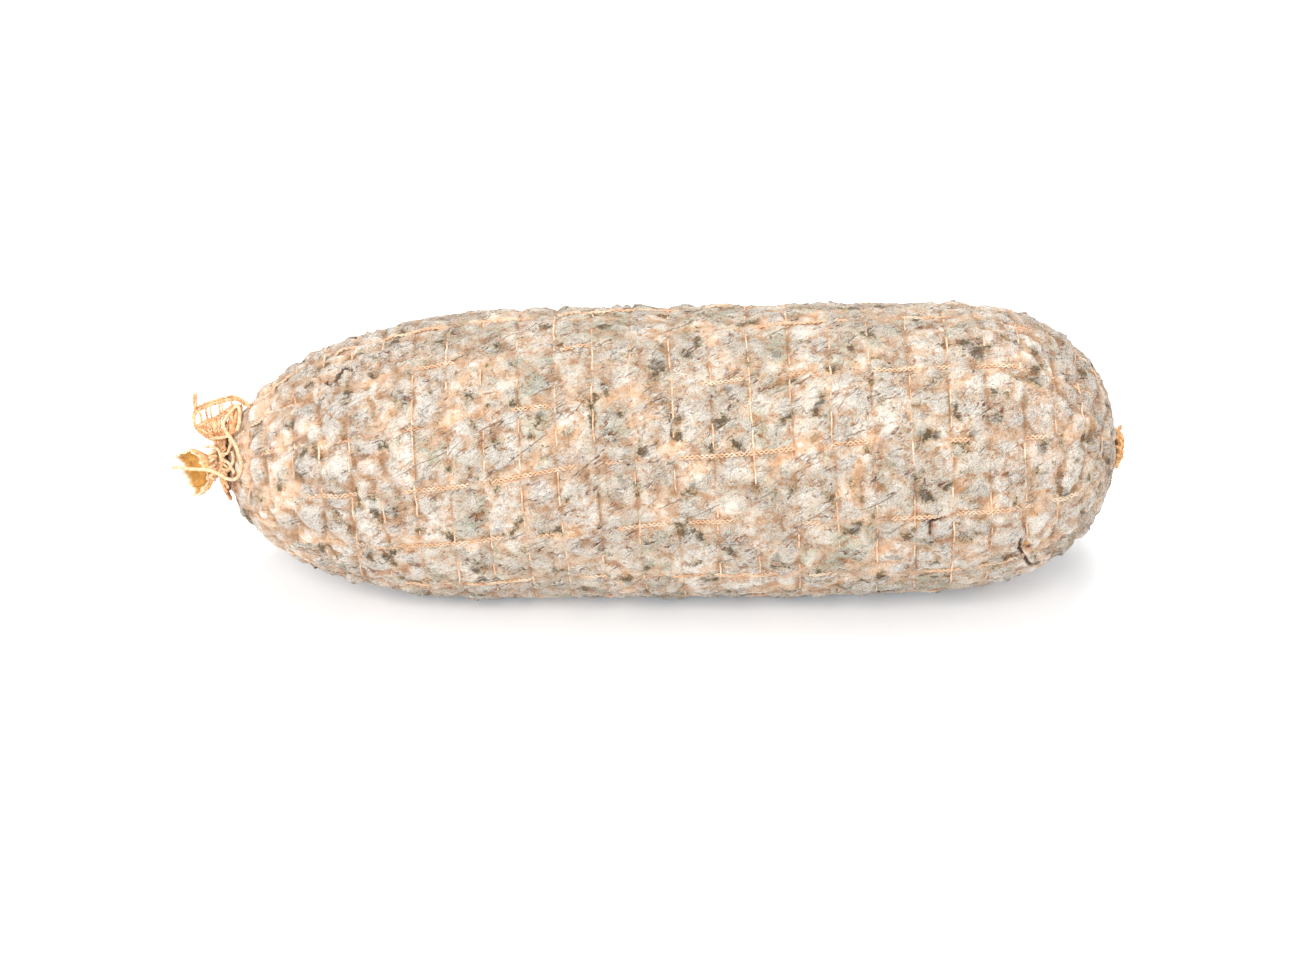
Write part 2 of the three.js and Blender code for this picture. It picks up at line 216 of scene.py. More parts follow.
def hoop_length(a):
    """Length from the neck, along the surface, of hoop a."""
    share = a / (HOOPS - 1)
    phase = 2 * np.pi * HOOPS_EVEN_AT
    swell = np.cos(2 * np.pi * share - phase) - np.cos(phase)
    return FIRST_HOOP + net_length * (share - HOOPS_UNEVEN / (2 * np.pi) * swell)


def on_net(a, b):
    """Point, outward and lengthwise directions, radius and turn at hoop a and strand b of the net."""
    plain = hoop_length(a)
    plain_x = np.interp(plain, outline_length, outline_x)
    inward = np.sin(np.pi * np.clip(plain / (net_length + FIRST_HOOP), 0, 1))
    place = 2 * np.pi * b / STRANDS
    sway = NET_SWAY * np.sin((plain_x + 60) / 57)
    spread = NET_SPREAD * np.sin(place - 0.58) * np.sin((plain_x - 25) / 60) * inward
    lower = np.floor(b)
    between = b - lower
    wander = (1 - between) * np.sin(0.9 * a + 2.4 * (lower % STRANDS))
    wander = STRAND_WANDER * inward * (wander + between * np.sin(0.9 * a + 2.4 * ((lower + 1) % STRANDS)))
    angle = place + NET_TURN + NET_TWIST * plain_x + sway + spread + wander
    length = plain - HOOP_SLANT * np.sin(angle) * inward
    x, r, out_x, out_r = (
        np.interp(length, outline_length, column)
        for column in (outline_x, outline_r, outline_out_x, outline_out_r)
    )
    up, front = np.sin(angle), np.cos(angle)
    heel = np.maximum(0, x - HEEL_START_X) / (BLUNT_X - HEEL_START_X)
    radius = r * (1 - HEEL_LIFT * heel * np.maximum(0, -up))
    drop = NECK_DROP * np.maximum(0, 1 - (x - NECK_X) / NECK_DROP_LENGTH) ** 1.3
    rise = BLUNT_RISE * np.maximum(0, x - BLUNT_RISE_START_X) / (BLUNT_X - BLUNT_RISE_START_X)
    point = np.stack([x, -radius * front, AXIS_Z - drop + rise + radius * up], -1)
    out = np.stack([out_x, -out_r * front, out_r * up], -1)
    along = np.stack([out_r, out_x * front, -out_x * up], -1)
    return point, out, along, radius, angle


def smooth_step(low, high, value):
    """From 0 where the value is low to 1 where it is high, level at both."""
    share = np.clip((value - low) / (high - low), 0, 1)
    return share * share * (3 - 2 * share)


def lumps(points, size, octaves=1):
    """Soft noise, about -1 to 1, in lumps of this size. Shifted points give another pattern."""
    return np.array([noise.fractal(p, 1.0, 2.0, octaves) for p in (points / size).tolist()])


def cobbles(points, size):
    """From 0 in the creases between rounded cobbles of this size to 1 on their tops."""
    near = np.array([noise.voronoi(p)[0][:2] for p in (points / size).tolist()])
    return smooth_step(0, 0.45, near[:, 1] - near[:, 0])


def scatter(i, j):
    """A fixed number from 0 to 1 for each pair."""
    value = np.sin(i * 12.9898 + j * 78.233) * 43758.5453
    return value - np.floor(value)


# Tears in the casing, each a line of places: x, and the turn upward from the front in degrees.
TEARS = (
    ((-109.3, 68.6), (-107.6, 70.9), (-105.5, 74.2), (-103.3, 72.5)),
    ((-112.4, 69.4), (-112.2, 67.8)),
    ((102.7, 1.6), (99.2, 0.6), (97.9, -0.6), (97.8, -3.5), (98.1, -5.4), (97.6, -8.3)),
    ((130.8, -11.6), (130.7, -17.2), (131.4, -20.6), (132.7, -24.8), (134.0, -29.2), (137.4, -41.0)),
    ((134.8, -16.8), (134.6, -19.9)),
)
RED_FLESH = (99.1, -1.7)  # beside the tears, in the same measures
OCHRE_FAT = (133.0, -16.5)
FAR = 99.0


def tears_mm(x, angle, radius):
    """How far places on the skin are from the nearest tear, the red flesh and the ochre fat."""

    def away(spot):
        turn = (math.radians(spot[1]) - angle + np.pi) % (2 * np.pi) - np.pi
        return np.stack([spot[0] - x, radius * turn], -1)

    nearest = np.full(len(x), FAR)
    for tear in TEARS:
        for start, end in zip(tear, tear[1:]):
            start, end = away(start), away(end)
            line = end - start
            share = np.clip(-(start * line).sum(1) / (line**2).sum(1), 0, 1)
            nearest = np.minimum(nearest, np.linalg.norm(start + share[:, None] * line, axis=1))
    spots = [np.linalg.norm(away(spot), axis=1) for spot in (RED_FLESH, OCHRE_FAT)]
    return np.minimum(np.stack([nearest, *spots], -1), FAR)


def grown_over(place):
    """From 0 where the cords lie bare to 1 where the mould crust has closed over them."""
    return smooth_step(-0.12, 0.28, lumps(place + 400, 15, 2))


def knobbiness(x):
    """From 0 in the smooth middle to 1 at the tied end, where each cell of the net is a knob, and 0.8
    at the blunt end."""
    return np.maximum(smooth_step(-62, -112, x), 0.8 * smooth_step(92, 140, x))


PILLOW_DEPTH = 0.95  # of the grooves that the net has pressed between the pillows
KNOB_DEPTH = 0.45  # how much deeper they are round the knobs near both ends
UNEVEN_DEPTH = 0.5  # how much that differs from cell to cell
CRUST_FILLS = 0.8  # share of their depth that mould crust has filled where it covers them
CELL_STRAY = 0.22  # share of a cell by which the knobs stray from the net
LAY_SLOPE = 0.011  # turn of the casing's lay for each millimetre along the piece
LAY_STRETCH = 0.28  # patterns are drawn out along the lay: their width is this share of their length
FOLD_SIZE = 9
FOLD_HEIGHT = 0.85
LARGE_LUMPS = 0.6  # heights of lumps of 12 mm,
LUMPS = 0.55  # of 5 mm
SMALL_LUMPS = 0.42  # and of 2.6 mm
COBBLE_SIZE = 9.5
COBBLE_HEIGHT = 0.6
TEAR_LIP = 0.35
TEAR_DEPTH = 1.3
NARROW_RADIUS = 24  # nearer the poles than this the relief dies away,
NARROW_SINK = 0.8  # and the skin lies lower, under the gathered net
PRESSED_Z = 0.02  # the underside is pressed flat at this height


def skin(a, b):
    """Everything that shapes the casing's skin at net places a, b (flat arrays), in millimetres."""
    point, out, along, radius, angle = on_net(a, b)
    x = point[:, 0]
    knobby = knobbiness(x)
    narrow = np.clip(radius / NARROW_RADIUS, 0, 1)
    strayed = CELL_STRAY * knobby * np.stack([lumps(point + shift, 9, 2) for shift in (500, 600)])
    lengthwise, crosswise = (a + strayed[0]) % 1, (b + strayed[1]) % 1
    power = 5 - 2.6 * knobby
    pillow = (1 - np.abs(2 * lengthwise - 1) ** power) * (1 - np.abs(2 * crosswise - 1) ** (power + 1))
    uneven = scatter(np.floor(a), np.floor(b) % STRANDS) - 0.5
    depth = PILLOW_DEPTH + KNOB_DEPTH * knobby + UNEVEN_DEPTH * uneven
    depth *= 1 - (CRUST_FILLS - 0.45 * knobby) * grown_over(point)
    # A coordinate that winds round the piece, so that folds rise to the right at about 30 degrees.
    wound = angle - LAY_SLOPE * x
    lay, above = (
        np.stack([LAY_STRETCH * x, GIRTH_RADIUS * np.cos(turn), GIRTH_RADIUS * np.sin(turn)], -1)
        for turn in (wound, wound + 1 / GIRTH_RADIUS)
    )
    # A fold stands up along its lower edge and runs out level above it.
    fold = lumps(lay + 31, FOLD_SIZE, 2)
    lower_edge = smooth_step(0, 0.07, lumps(above + 31, FOLD_SIZE, 2) - fold)
    folded = lower_edge * smooth_step(-0.05, 0.25, lumps(point + 77, 13, 2)) * (1 - 0.5 * knobby)
    height = 0.1 - depth * (1 - pillow)
    height += FOLD_HEIGHT * folded * smooth_step(-0.04, 0.04, fold) * np.exp(-np.maximum(fold, 0) / 0.22)
    height += LARGE_LUMPS * lumps(point, 12, 2) + (LUMPS + 0.05 * knobby) * lumps(point + 13, 5)
    height += SMALL_LUMPS * lumps(point + 29, 2.6)
    height += (COBBLE_HEIGHT + 0.5 * knobby) * (cobbles(point + 5, COBBLE_SIZE) - 0.6)
    torn = tears_mm(x, angle, radius)
    height += TEAR_LIP * smooth_step(3, 1, torn[:, 0]) - TEAR_DEPTH * smooth_step(0.9, 0.1, torn[:, 0])
    height = height * narrow - NARROW_SINK * (1 - narrow)
    return point, out, along, height, fold, folded, lay, radius, torn


def crowd(steps, pull):
    """Shares from 0 up to 1, closer together at both ends."""
    share = np.arange(steps) / steps
    return share - pull * np.sin(2 * np.pi * share) / (2 * np.pi)


def grid_faces(rows, columns, start=0, ring_rows=False):
    """Quads over a grid of points whose columns close into rings, and its rows too if asked."""
    r, c = np.meshgrid(np.arange(rows if ring_rows else rows - 1), np.arange(columns), indexing="ij")
    r, c = r.ravel(), c.ravel()
    next_r, next_c = (r + 1) % rows, (c + 1) % columns
    corners = [r * columns + c, next_r * columns + c, next_r * columns + next_c, r * columns + next_c]
    return (np.stack(corners, -1) + start).tolist()


def make_piece(name, points, faces, material, node):
    """A smooth mesh from points in millimetres, standing for a CAD node."""
    mesh = bpy.data.meshes.new(name)
    mesh.from_pydata((np.asarray(points) * MM).tolist(), [], faces)
    mesh.shade_smooth()
    mesh.materials.append(material)
    piece = bpy.data.objects.new(name, mesh)
    bpy.context.collection.objects.link(piece)
    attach(piece, "root")
    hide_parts(node)
    return piece


def give(piece, name, values):
    """Stores a number or a vector for each point, for the material to read."""
    kind, field = ("FLOAT", "value") if values.ndim == 1 else ("FLOAT_VECTOR", "vector")
    piece.data.attributes.new(name, kind, "POINT").data.foreach_set(field, values.ravel())


# The mesh is finer beside the cords: 12 rows of points to a cell along the piece, and 21 round it.
row_a = np.append((np.arange(HOOPS - 1)[:, None] + crowd(12, 0.62)).ravel(), HOOPS - 1.0)
column_b = (np.arange(STRANDS)[:, None] + crowd(21, 0.6)).ravel()
grid_a, grid_b = (g.ravel() for g in np.meshgrid(row_a, column_b, indexing="ij"))
point, out, _, height, fold, folded, lay, radius, torn = skin(grid_a, grid_b)
meat_points = point + out * height[:, None]
columns = len(column_b)

# Both ends close in two smaller rings and a middle: inside the tie, and under the end knot.
first_ring, last_ring = meat_points[:columns], meat_points[-columns:]
ring_shares = (0.35, 0.7)
neck_ring_xs = (-155.5, -153.5)
neck_centre = np.array([NECK_X, 0, NECK_Z])
pole_centre = np.array([BLUNT_X - 0.9, 0, AXIS_Z + BLUNT_RISE])
neck_rings = [neck_centre + (first_ring - neck_centre) * share for share in ring_shares]
for ring, x in zip(neck_rings, neck_ring_xs):
    ring[:, 0] = x
pole_rings = [last_ring + (pole_centre - last_ring) * share for share in ring_shares]
neck_end = neck_rings[0].mean(0)
meat_points = np.concatenate([*neck_rings, meat_points, *pole_rings, [neck_end, pole_centre]])
rows = len(row_a) + len(neck_rings) + len(pole_rings)
neck_hub, pole_hub = rows * columns, rows * columns + 1
last_row = (rows - 1) * columns
meat_faces = [face[::-1] for face in grid_faces(rows, columns)]
meat_faces += [(c, (c + 1) % columns, neck_hub) for c in range(columns)]
meat_faces += [(last_row + (c + 1) % columns, last_row + c, pole_hub) for c in range(columns)]
meat_points[:, 2] = np.maximum(meat_points[:, 2], PRESSED_Z)


def spread_ends(values):
    """The grid's values, and their first and last ones for the rings that close both ends."""
    first, last = values[:columns], values[-columns:]
    return np.concatenate([first, first, values, last, last, values[:1], values[-1:]])


def cell_tones(a, b):
    """Three fixed numbers from 0 to 1 for the cell of the net at each a, b."""
    return [scatter(np.floor(a) + shift, np.floor(b) % STRANDS + 0.37 * shift) for shift in (0, 17, 41)]


def off_strand(b, radius):
    """Distance of places from the nearest strand."""
    return np.abs(b - np.round(b)) * 2 * np.pi * radius / STRANDS


def steepness(values):
    """How much the values change in a millimetre, over the grid."""
    steps = []
    for axis in (0, 1):
        ahead = [np.roll(grid.reshape(-1, columns, *grid.shape[1:]), -1, axis) for grid in (values, point)]
        apart = np.linalg.norm(ahead[1] - point.reshape(-1, columns, 3), axis=-1)
        steps.append((ahead[0] - values.reshape(-1, columns)) / np.maximum(apart, 0.2))
    return np.hypot(*steps).ravel()


def grid_blur(values, reach):
    """Values on the grid, averaged over this many neighbours each way."""
    grid = values.reshape(-1, columns)
    for axis in (0, 1):
        grid = sum(np.roll(grid, k, axis) for k in range(-reach, reach + 1)) / (2 * reach + 1)
    return grid.ravel()


def bareness(place, lay, strand_mm):
    """Above 0 where the casing is bare of crust: in streaks, along the strands and round the neck."""
    streaks = lumps(lay * [2.2, 1, 1] + 150, 9.5, 3)
    neck = smooth_step(-116, -146, place[:, 0] - 6 * lumps(place + 200, 9, 2))
    return streaks - 0.26 + 0.3 * np.exp(-((strand_mm / 3.2) ** 2)) + 0.9 * neck


casing = new_material("mouldy_natural_casing")
meat = make_piece("cured_meat_in_casing", meat_points, meat_faces, casing, "cured_meat")
hoop_pitch = np.gradient(hoop_length(row_a), row_a)
strand_mm = off_strand(grid_b, radius)
tones = cell_tones(grid_a, grid_b)
at_ends = knobbiness(point[:, 0])
tones[1] = tones[1] * (1 - 0.8 * at_ends)  # little grey mould near the ends,
tones[2] = tones[2] + 0.8 * at_ends  # and more of the peach casing
fold_mm = fold / np.maximum(grid_blur(steepness(fold), 1), 0.03)
for name, values in (
    ("hoop_mm", np.abs(grid_a - np.round(grid_a)) * np.repeat(hoop_pitch, columns)),
    ("strand_mm", strand_mm),
    ("cell_tone", np.stack(tones, -1)),
    ("fold_mm", np.clip(fold_mm, -9, 9)),
    ("folded", folded),
    ("torn", torn),
    ("lay", lay * MM),
    ("proud_mm", height - grid_blur(grid_blur(height, 2), 2)),
    ("bare", bareness(point, lay, strand_mm)),
    ("gathered", smooth_step(-143.5, -147.5, point[:, 0])),
):
    give(meat, name, spread_ends(values))


def laid_over(material, under, shade, pattern, start, full, strength=1.0):
    """The colour under, with a shade laid over it more and more as the pattern goes from start to full."""
    extent = {"Value": pattern, "From Min": start, "From Max": full, "To Max": strength}
    share = add(material, "MapRange", extent, interpolation_type="SMOOTHSTEP")
    return add(material, "Mix", {"Factor": share, "A": under, "B": linear(shade)}, data_type="RGBA")


# Dried gut is peach and dull. What the eye sees on it is the mould: a dry, mealy crust in creams and
# grey-greens, cracked and lifted in scales, with painted brown shade between them. There is no shine
# anywhere.
here = add(casing, "TexCoord").outputs["Object"]
hoop_mm, strand_mm, folded, fold, gathered, bare, proud = (
    add(casing, "Attribute", attribute_name=name).outputs["Fac"]
    for name in ("hoop_mm", "strand_mm", "folded", "fold_mm", "gathered", "bare", "proud_mm")
)
lay, tone, torn = (
    add(casing, "Attribute", attribute_name=name).outputs["Vector"] for name in ("lay", "cell_tone", "torn")
)
lay_xyz, tone_xyz, torn_xyz = (add(casing, "SeparateXYZ", {"Vector": xyz}) for xyz in (lay, tone, torn))
# The casing itself is peach, browner where the meat shows through.
flesh = linear("#dfc2a8")
for shade, size, low, high, strength in (("#cfa785", 6, 0.42, 0.62, 0.9), ("#b28453", 9, 0.57, 0.68, 0.8)):
    patch = add(casing, "TexNoise", {"Vector": here, "Scale": 1000 / size, "Detail": 4, "Roughness": 0.6})
    flesh = laid_over(casing, flesh, shade, patch, low, high, strength)
# Patches of growth on the casing, one over the other. Each is ragged noise, and takes to some of the
# net's cells more than to others.
growths = (
    # colour, size in mm, detail, which of a cell's tones it takes to and how much, from, to, strength
    ("#dac8b1", 5.5, 4, 0, 0.0, 0.44, 0.6, 0.6),  # thin buff mould on the cream
    ("#e6c7b0", 9, 4, 2, 0.2, 0.5, 0.62, 0.85),  # peach under a thin bloom
    ("#bdc2ac", 9, 5, 1, 0.25, 0.54, 0.66, 0.8),  # grey-green mould
    ("#ede7dd", 4.5, 5, 1, -0.2, 0.48, 0.62, 0.9),  # fresh white mould
)
mould = linear("#e1d5c5")
for shade, size, detail, axis, lean, low, high, strength in growths:
    ragged = {"Vector": here, "Scale": 1000 / size, "Detail": detail, "Roughness": 0.62}
    patch = add(casing, "TexNoise", ragged)
    pulled = add(casing, "Math", {0: tone_xyz.outputs[axis], 1: lean, 2: patch}, operation="MULTIPLY_ADD")
    mould = laid_over(casing, mould, shade, pulled, low + lean / 2, high + lean / 2, strength)
# The crust is crumbs of two millimetres with grit on them, drawn at 0.75 mm because the real grit of
# under 0.3 mm is too fine to show. It is thick on what stands proud, and the casing shows between.
crumbs, grit, spread, fray = (
    add(casing, "TexNoise", {"Vector": here, "Scale": 1000 / size, "Detail": detail, "Roughness": roughness})
    for size, detail, roughness in ((2.2, 5, 0.74), (0.75, 2, 0.6), (7.5, 3, 0.6), (2.6, 5, 0.68))
)
bare = add(casing, "Math", {0: fray, 1: 0.9, 2: bare}, operation="MULTIPLY_ADD")
bared = {"Value": bare, "From Min": 0.26, "From Max": 0.68}
bare = add(casing, "MapRange", bared, interpolation_type="SMOOTHSTEP")
thick = 0
for layer, share in ((crumbs, 1.1), (grit, 0.4), (spread, 0.5), (proud, 0.35), (bare, -0.2)):
    thick = add(casing, "Math", {0: layer, 1: share, 2: thick}, operation="MULTIPLY_ADD")
covered = {"Value": thick, "From Min": 0.8, "From Max": 1.08}
cover = add(casing, "MapRange", covered, interpolation_type="SMOOTHSTEP")
colour = add(casing, "Mix", {"Factor": cover, "A": flesh, "B": mould}, data_type="RGBA")
# Where it is gathered into the tie it is nearly bare, and painted dark brown as shade deep in the gather.
gathered = add(casing, "Math", {0: gathered, 1: fray}, operation="MULTIPLY")
colour = laid_over(casing, colour, "#7e4a2e", gathered, 0.3, 0.55)
# Along the cords the crust is thin and stained tan by them.
for distance, reach, fraying, strength in ((strand_mm, 2.0, 7, 0.5), (hoop_mm, 0.8, 4, 0.35)):
    ragged = add(casing, "Math", {0: fray, 1: fraying, 2: distance}, operation="MULTIPLY_ADD")
    colour = laid_over(casing, colour, "#dbb392", ragged, reach + fraying / 2, fraying / 2, strength)
# Dark olive mould: grains of about a millimetre, gathered in spots.
spots, grains = (
    add(casing, "TexNoise", {"Vector": here, "Scale": 1000 / size, "Detail": detail, "Roughness": roughness})
    for size, detail, roughness in ((7, 2, 0.5), (0.8, 3, 0.7))
)
grains = add(casing, "Math", {0: grains, 1: 0.35, 2: spots}, operation="MULTIPLY_ADD")
colour = laid_over(casing, colour, "#b1a07c", grains, 0.75, 0.81, 0.65)
colour = laid_over(casing, colour, "#513d20", grains, 0.81, 0.865, 0.92)
# The crust is a dry skin that has cracked and wrinkled. Each crack is the line where a noise passes its
# middle value, deep where it gapes and painted brown there as shade, and the crust swells between the
# cracks. The long ones follow the casing's lay, rising to the right.
gaping = add(casing, "TexNoise", {"Vector": here, "Scale": 1000 / 4.5, "Detail": 2})
crusty = add(casing, "TexNoise", {"Vector": here, "Scale": 1000 / 13, "Detail": 2})
crusty_range = {"Value": crusty, "From Min": 0.4, "From Max": 0.58, "To Min": 0.6, "To Max": 1.1}
crusty = add(casing, "MapRange", crusty_range)
crusty = add(casing, "Math", {0: bare, 1: -0.3, 2: crusty}, operation="MULTIPLY_ADD")
crust_height = 0
for grain, size, warp, width, depth, swell, shade_strength, shade in (
    (lay, 2.4, 0.5, 0.03, 0.9, 1.5, 0.9, "#804c20"),
    (here, 3.0, 1.2, 0.035, 0.3, 5.0, 0.6, "#9f6532"),
):
    swirl = {"Vector": grain, "Scale": 1000 / size, "Detail": 2, "Distortion": warp}
    middle = add(casing, "Math", {0: add(casing, "TexNoise", swirl), 1: 0.5}, operation="SUBTRACT")
    away = add(casing, "Math", {0: middle}, operation="ABSOLUTE")
    crust_height = add(casing, "Math", {0: away, 1: swell, 2: crust_height}, operation="MULTIPLY_ADD")
    closing = {"Value": gaping, "From Min": 0.7, "From Max": 0.47, "To Max": 1.3 * width}
    away = add(casing, "Math", {0: away, 1: add(casing, "MapRange", closing)}, operation="ADD")
    opening = {"Value": away, "From Min": width, "From Max": 0.0}
    opened = add(casing, "MapRange", opening, interpolation_type="SMOOTHSTEP")
    opened = add(casing, "Math", {0: opened, 1: crusty}, operation="MULTIPLY")
    crack_shade = add(casing, "Math", {0: opened, 1: shade_strength}, operation="MULTIPLY")
    colour = add(casing, "Mix", {"Factor": crack_shade, "A": colour, "B": linear(shade)}, data_type="RGBA")
    crust_height = add(casing, "Math", {0: opened, 1: -depth, 2: crust_height}, operation="MULTIPLY_ADD")
# It has also lifted in scales, row above row like shingles laid upside down: each rises to an upper lip,
# painted pale as a highlight, and the slit behind the lip is painted dark as shade. A row is a whole number
# of turns, bent by noise.
wound = add(casing, "Math", {0: lay_xyz.outputs[2], 1: lay_xyz.outputs[1]}, operation="ARCTAN2")
shorter_lay = add(casing, "VectorMath", {0: lay, 1: (2.0, 1.0, 1.0)}, operation="MULTIPLY")
for scale_rows, size, bend, rise, lifting, low, high in (
    (89, 7.0, 4.5, 0.8, gaping, 0.5, 0.58),
    (199, 3.0, 3.2, 0.35, fray, 0.5, 0.66),
):
    bending = {"Vector": shorter_lay, "Scale": 1000 / size, "Detail": 3, "Roughness": 0.55}
    bent = add(casing, "TexNoise", bending)
    row = add(casing, "Math", {0: wound, 1: scale_rows / (2 * math.pi)}, operation="MULTIPLY")
    row = add(casing, "Math", {0: bent, 1: bend, 2: row}, operation="MULTIPLY_ADD")
    row = add(casing, "Math", {0: row}, operation="FRACT")
    lift = {"Value": lifting, "From Min": low, "From Max": high}
    lifted = add(casing, "MapRange", lift, interpolation_type="SMOOTHSTEP")
    lifted = add(casing, "Math", {0: lifted, 1: crusty}, operation="MULTIPLY")
    # Painted shade darkens the slit and a painted highlight lightens the lip, where the scale is lifted.
    for start, end, shade, strength in ((0.22, 0.06, "#7c430d", 0.95), (0.74, 0.96, "#efe9e0", 0.7)):
        extent = {"Value": row, "From Min": start, "From Max": end, "To Max": strength}
        edge = add(casing, "MapRange", extent, interpolation_type="SMOOTHSTEP")
        edge = add(casing, "Math", {0: edge, 1: lifted}, operation="MULTIPLY")
        colour = add(casing, "Mix", {"Factor": edge, "A": colour, "B": linear(shade)}, data_type="RGBA")
    row = add(casing, "Math", {0: row, 1: lifted}, operation="MULTIPLY")
    crust_height = add(casing, "Math", {0: row, 1: rise, 2: crust_height}, operation="MULTIPLY_ADD")
# Crumbs and grit stand up on all of it, and painted shade browns the places where the crumbs lie lowest.
for layer, tall in ((crumbs, 2.2), (grit, 2.1)):
    crust_height = add(casing, "Math", {0: layer, 1: tall, 2: crust_height}, operation="MULTIPLY_ADD")
crust_height = add(casing, "Math", {0: crust_height, 1: crusty}, operation="MULTIPLY")
crumb_shade = add(casing, "MapRange", {"Value": crumbs, "From Min": 0.44, "From Max": 0.35, "To Max": 0.7})
colour = add(casing, "Mix", {"Factor": crumb_shade, "A": colour, "B": linear("#aa6930")}, data_type="RGBA")
# Painted shade darkens the hollows brown, and a painted highlight makes the tops of lumps pale.
colour = laid_over(casing, colour, "#ae7542", proud, -0.05, -0.6, 0.6)
colour = laid_over(casing, colour, "#ece6de", proud, 0.1, 0.5, 0.4)
# Folds of the casing, with painted shade as a thin dark line where each fold stands up.
fold = add(casing, "Math", {0: fray, 1: 1.2, 2: fold}, operation="MULTIPLY_ADD")
fold = add(casing, "Math", {0: fold, 1: 0.6}, operation="SUBTRACT")
fold = add(casing, "Math", {0: fold}, operation="ABSOLUTE")
folded = add(casing, "MapRange", {"Value": folded, "From Min": 0.35, "From Max": 0.9, "To Max": 0.75})
fold_range = {"Value": fold, "From Min": 0.38, "From Max": 0.1}
line = add(casing, "MapRange", fold_range, interpolation_type="SMOOTHSTEP")
line = add(casing, "Math", {0: line, 1: folded}, operation="MULTIPLY")
colour = add(casing, "Mix", {"Factor": line, "A": colour, "B": linear("#8a5528")}, data_type="RGBA")
crust_height = add(casing, "Math", {0: line, 1: -0.5, 2: crust_height}, operation="MULTIPLY_ADD")
# Tears are nearly black. Beside them show red flesh and ochre fat.
for axis, shade, reach, strength in (
    (2, "#cf9350", 2.4, 0.9),
    (1, "#ad5648", 1.5, 0.9),
    (0, "#3f1f12", 0.8, 0.97),
):
    ragged = {0: fray, 1: 1.6 * reach, 2: torn_xyz.outputs[axis]}
    ragged = add(casing, "Math", ragged, operation="MULTIPLY_ADD")
    colour = laid_over(casing, colour, shade, ragged, 1.9 * reach, 1.2 * reach, strength)
crust_bump = add(casing, "Bump", {"Strength": 1.0, "Distance": MM, "Height": crust_height})
casing_look = {
    "Base Color": colour,
    "Roughness": 0.88,
    "IOR": 1.42,
    "Sheen Weight": 0.2,
    "Sheen Roughness": 0.5,
    "Sheen Tint": linear("#fff3e4"),
    "Normal": crust_bump,
}
add(casing, "OutputMaterial", {"Surface": add(casing, "BsdfPrincipled", casing_look)})

# ---- Curls of crust ----
# The crust has dried and curled into thousands of short, low ridges, each up to four millimetres
# long. They stand up where it is thick, and there are few on the bare casing.
CURLS = 9000  # places tried, of which nearly a third is kept
RIDGE_WIDE = 0.42  # to either side
RIDGE_TALL = 0.5
RIDGE_SUNK = 0.25  # how deep its sides reach into the crust
RIDGE_LOWEST = 0.05  # no ridge pokes through what the piece rests on
RIDGE_STEPS = 5  # places along each ridge, with three points across it at all but the tips
RIDGE_POINTS = 3 * (RIDGE_STEPS - 2) + 2
curl_random = np.random.default_rng(7)
curl_a = curl_random.uniform(0.3, HOOPS - 1.3, CURLS)
curl_b = curl_random.uniform(0, STRANDS, CURLS)
curl_turn = curl_random.uniform(-1, 1, CURLS) ** 3 * 1.4 + 0.35
curl_long = curl_random.uniform(0.7, 2.1, CURLS)
curl_bent = curl_random.uniform(-0.7, 0.7, CURLS)
curl_keep = curl_random.uniform(0, 1, CURLS)

curl_skin = skin(curl_a, curl_b)
curl_point, curl_lay, curl_radius, curl_torn = (curl_skin[k] for k in (0, 6, 7, 8))
curl_bare = bareness(curl_point, curl_lay, off_strand(curl_b, curl_radius))
crowded = 0.55 + 0.8 * lumps(curl_point + 60, 11, 2) - 0.8 * smooth_step(-0.1, 0.1, curl_bare)
kept = curl_keep < crowded * curl_radius / GIRTH_RADIUS
curl_a, curl_b, curl_turn, curl_long, curl_bent = (
    values[kept] for values in (curl_a, curl_b, curl_turn, curl_long, curl_bent)
)
mm_to_a = 1 / np.interp(curl_a, row_a, hoop_pitch)
mm_to_b = STRANDS / (2 * np.pi * curl_radius[kept])
ridge_points, ridge_proud = [], []
for share in np.linspace(-1, 1, RIDGE_STEPS):
    reach = curl_long * share
    bend = curl_bent * (share**2 - 0.5)
    body = math.sqrt(1 - 0.95 * share**2)
    tip = abs(share) == 1
    for across, on_top in ((0, False),) if tip else ((-1, False), (0.25, True), (1, False)):
        wide = RIDGE_WIDE * across * body + bend
        a = curl_a + mm_to_a * (reach * np.cos(curl_turn) - wide * np.sin(curl_turn))
        b = curl_b + mm_to_b * (reach * np.sin(curl_turn) + wide * np.cos(curl_turn))
        place, outward, _, height = skin(a, b)[:4]
        stand = height + (RIDGE_TALL * body if on_top else 0 if tip else -RIDGE_SUNK)
        ridge_points.append(place + outward * stand[:, None])
        ridge_proud.append(np.full(len(a), 0.45 if on_top else -0.4))
ridge_points = np.stack(ridge_points, 1)  # one row for each curl
ridge_points[..., 2] = np.maximum(ridge_points[..., 2], RIDGE_LOWEST)
flanks = [(k + p, k + q, k + 3 + q, k + 3 + p) for k in (1, 4) for p, q in ((0, 1), (1, 2), (2, 0))]
tips = [(0, 2, 1), (0, 3, 2), (0, 1, 3), (10, 7, 8), (10, 8, 9), (10, 9, 7)]
starts = range(0, RIDGE_POINTS * len(curl_a), RIDGE_POINTS)
curl_faces = [tuple(start + p for p in face) for start in starts for face in flanks + tips]
curl_points = ridge_points.reshape(-1, 3)
curls = make_piece("crust_curls", curl_points, curl_faces, casing, "cured_meat")
# Their tops count as proud and their sides as sunk, so the casing gives them a painted highlight on top and
# painted shade on the sides.
give(curls, "proud_mm", np.stack(ridge_proud, 1).ravel())
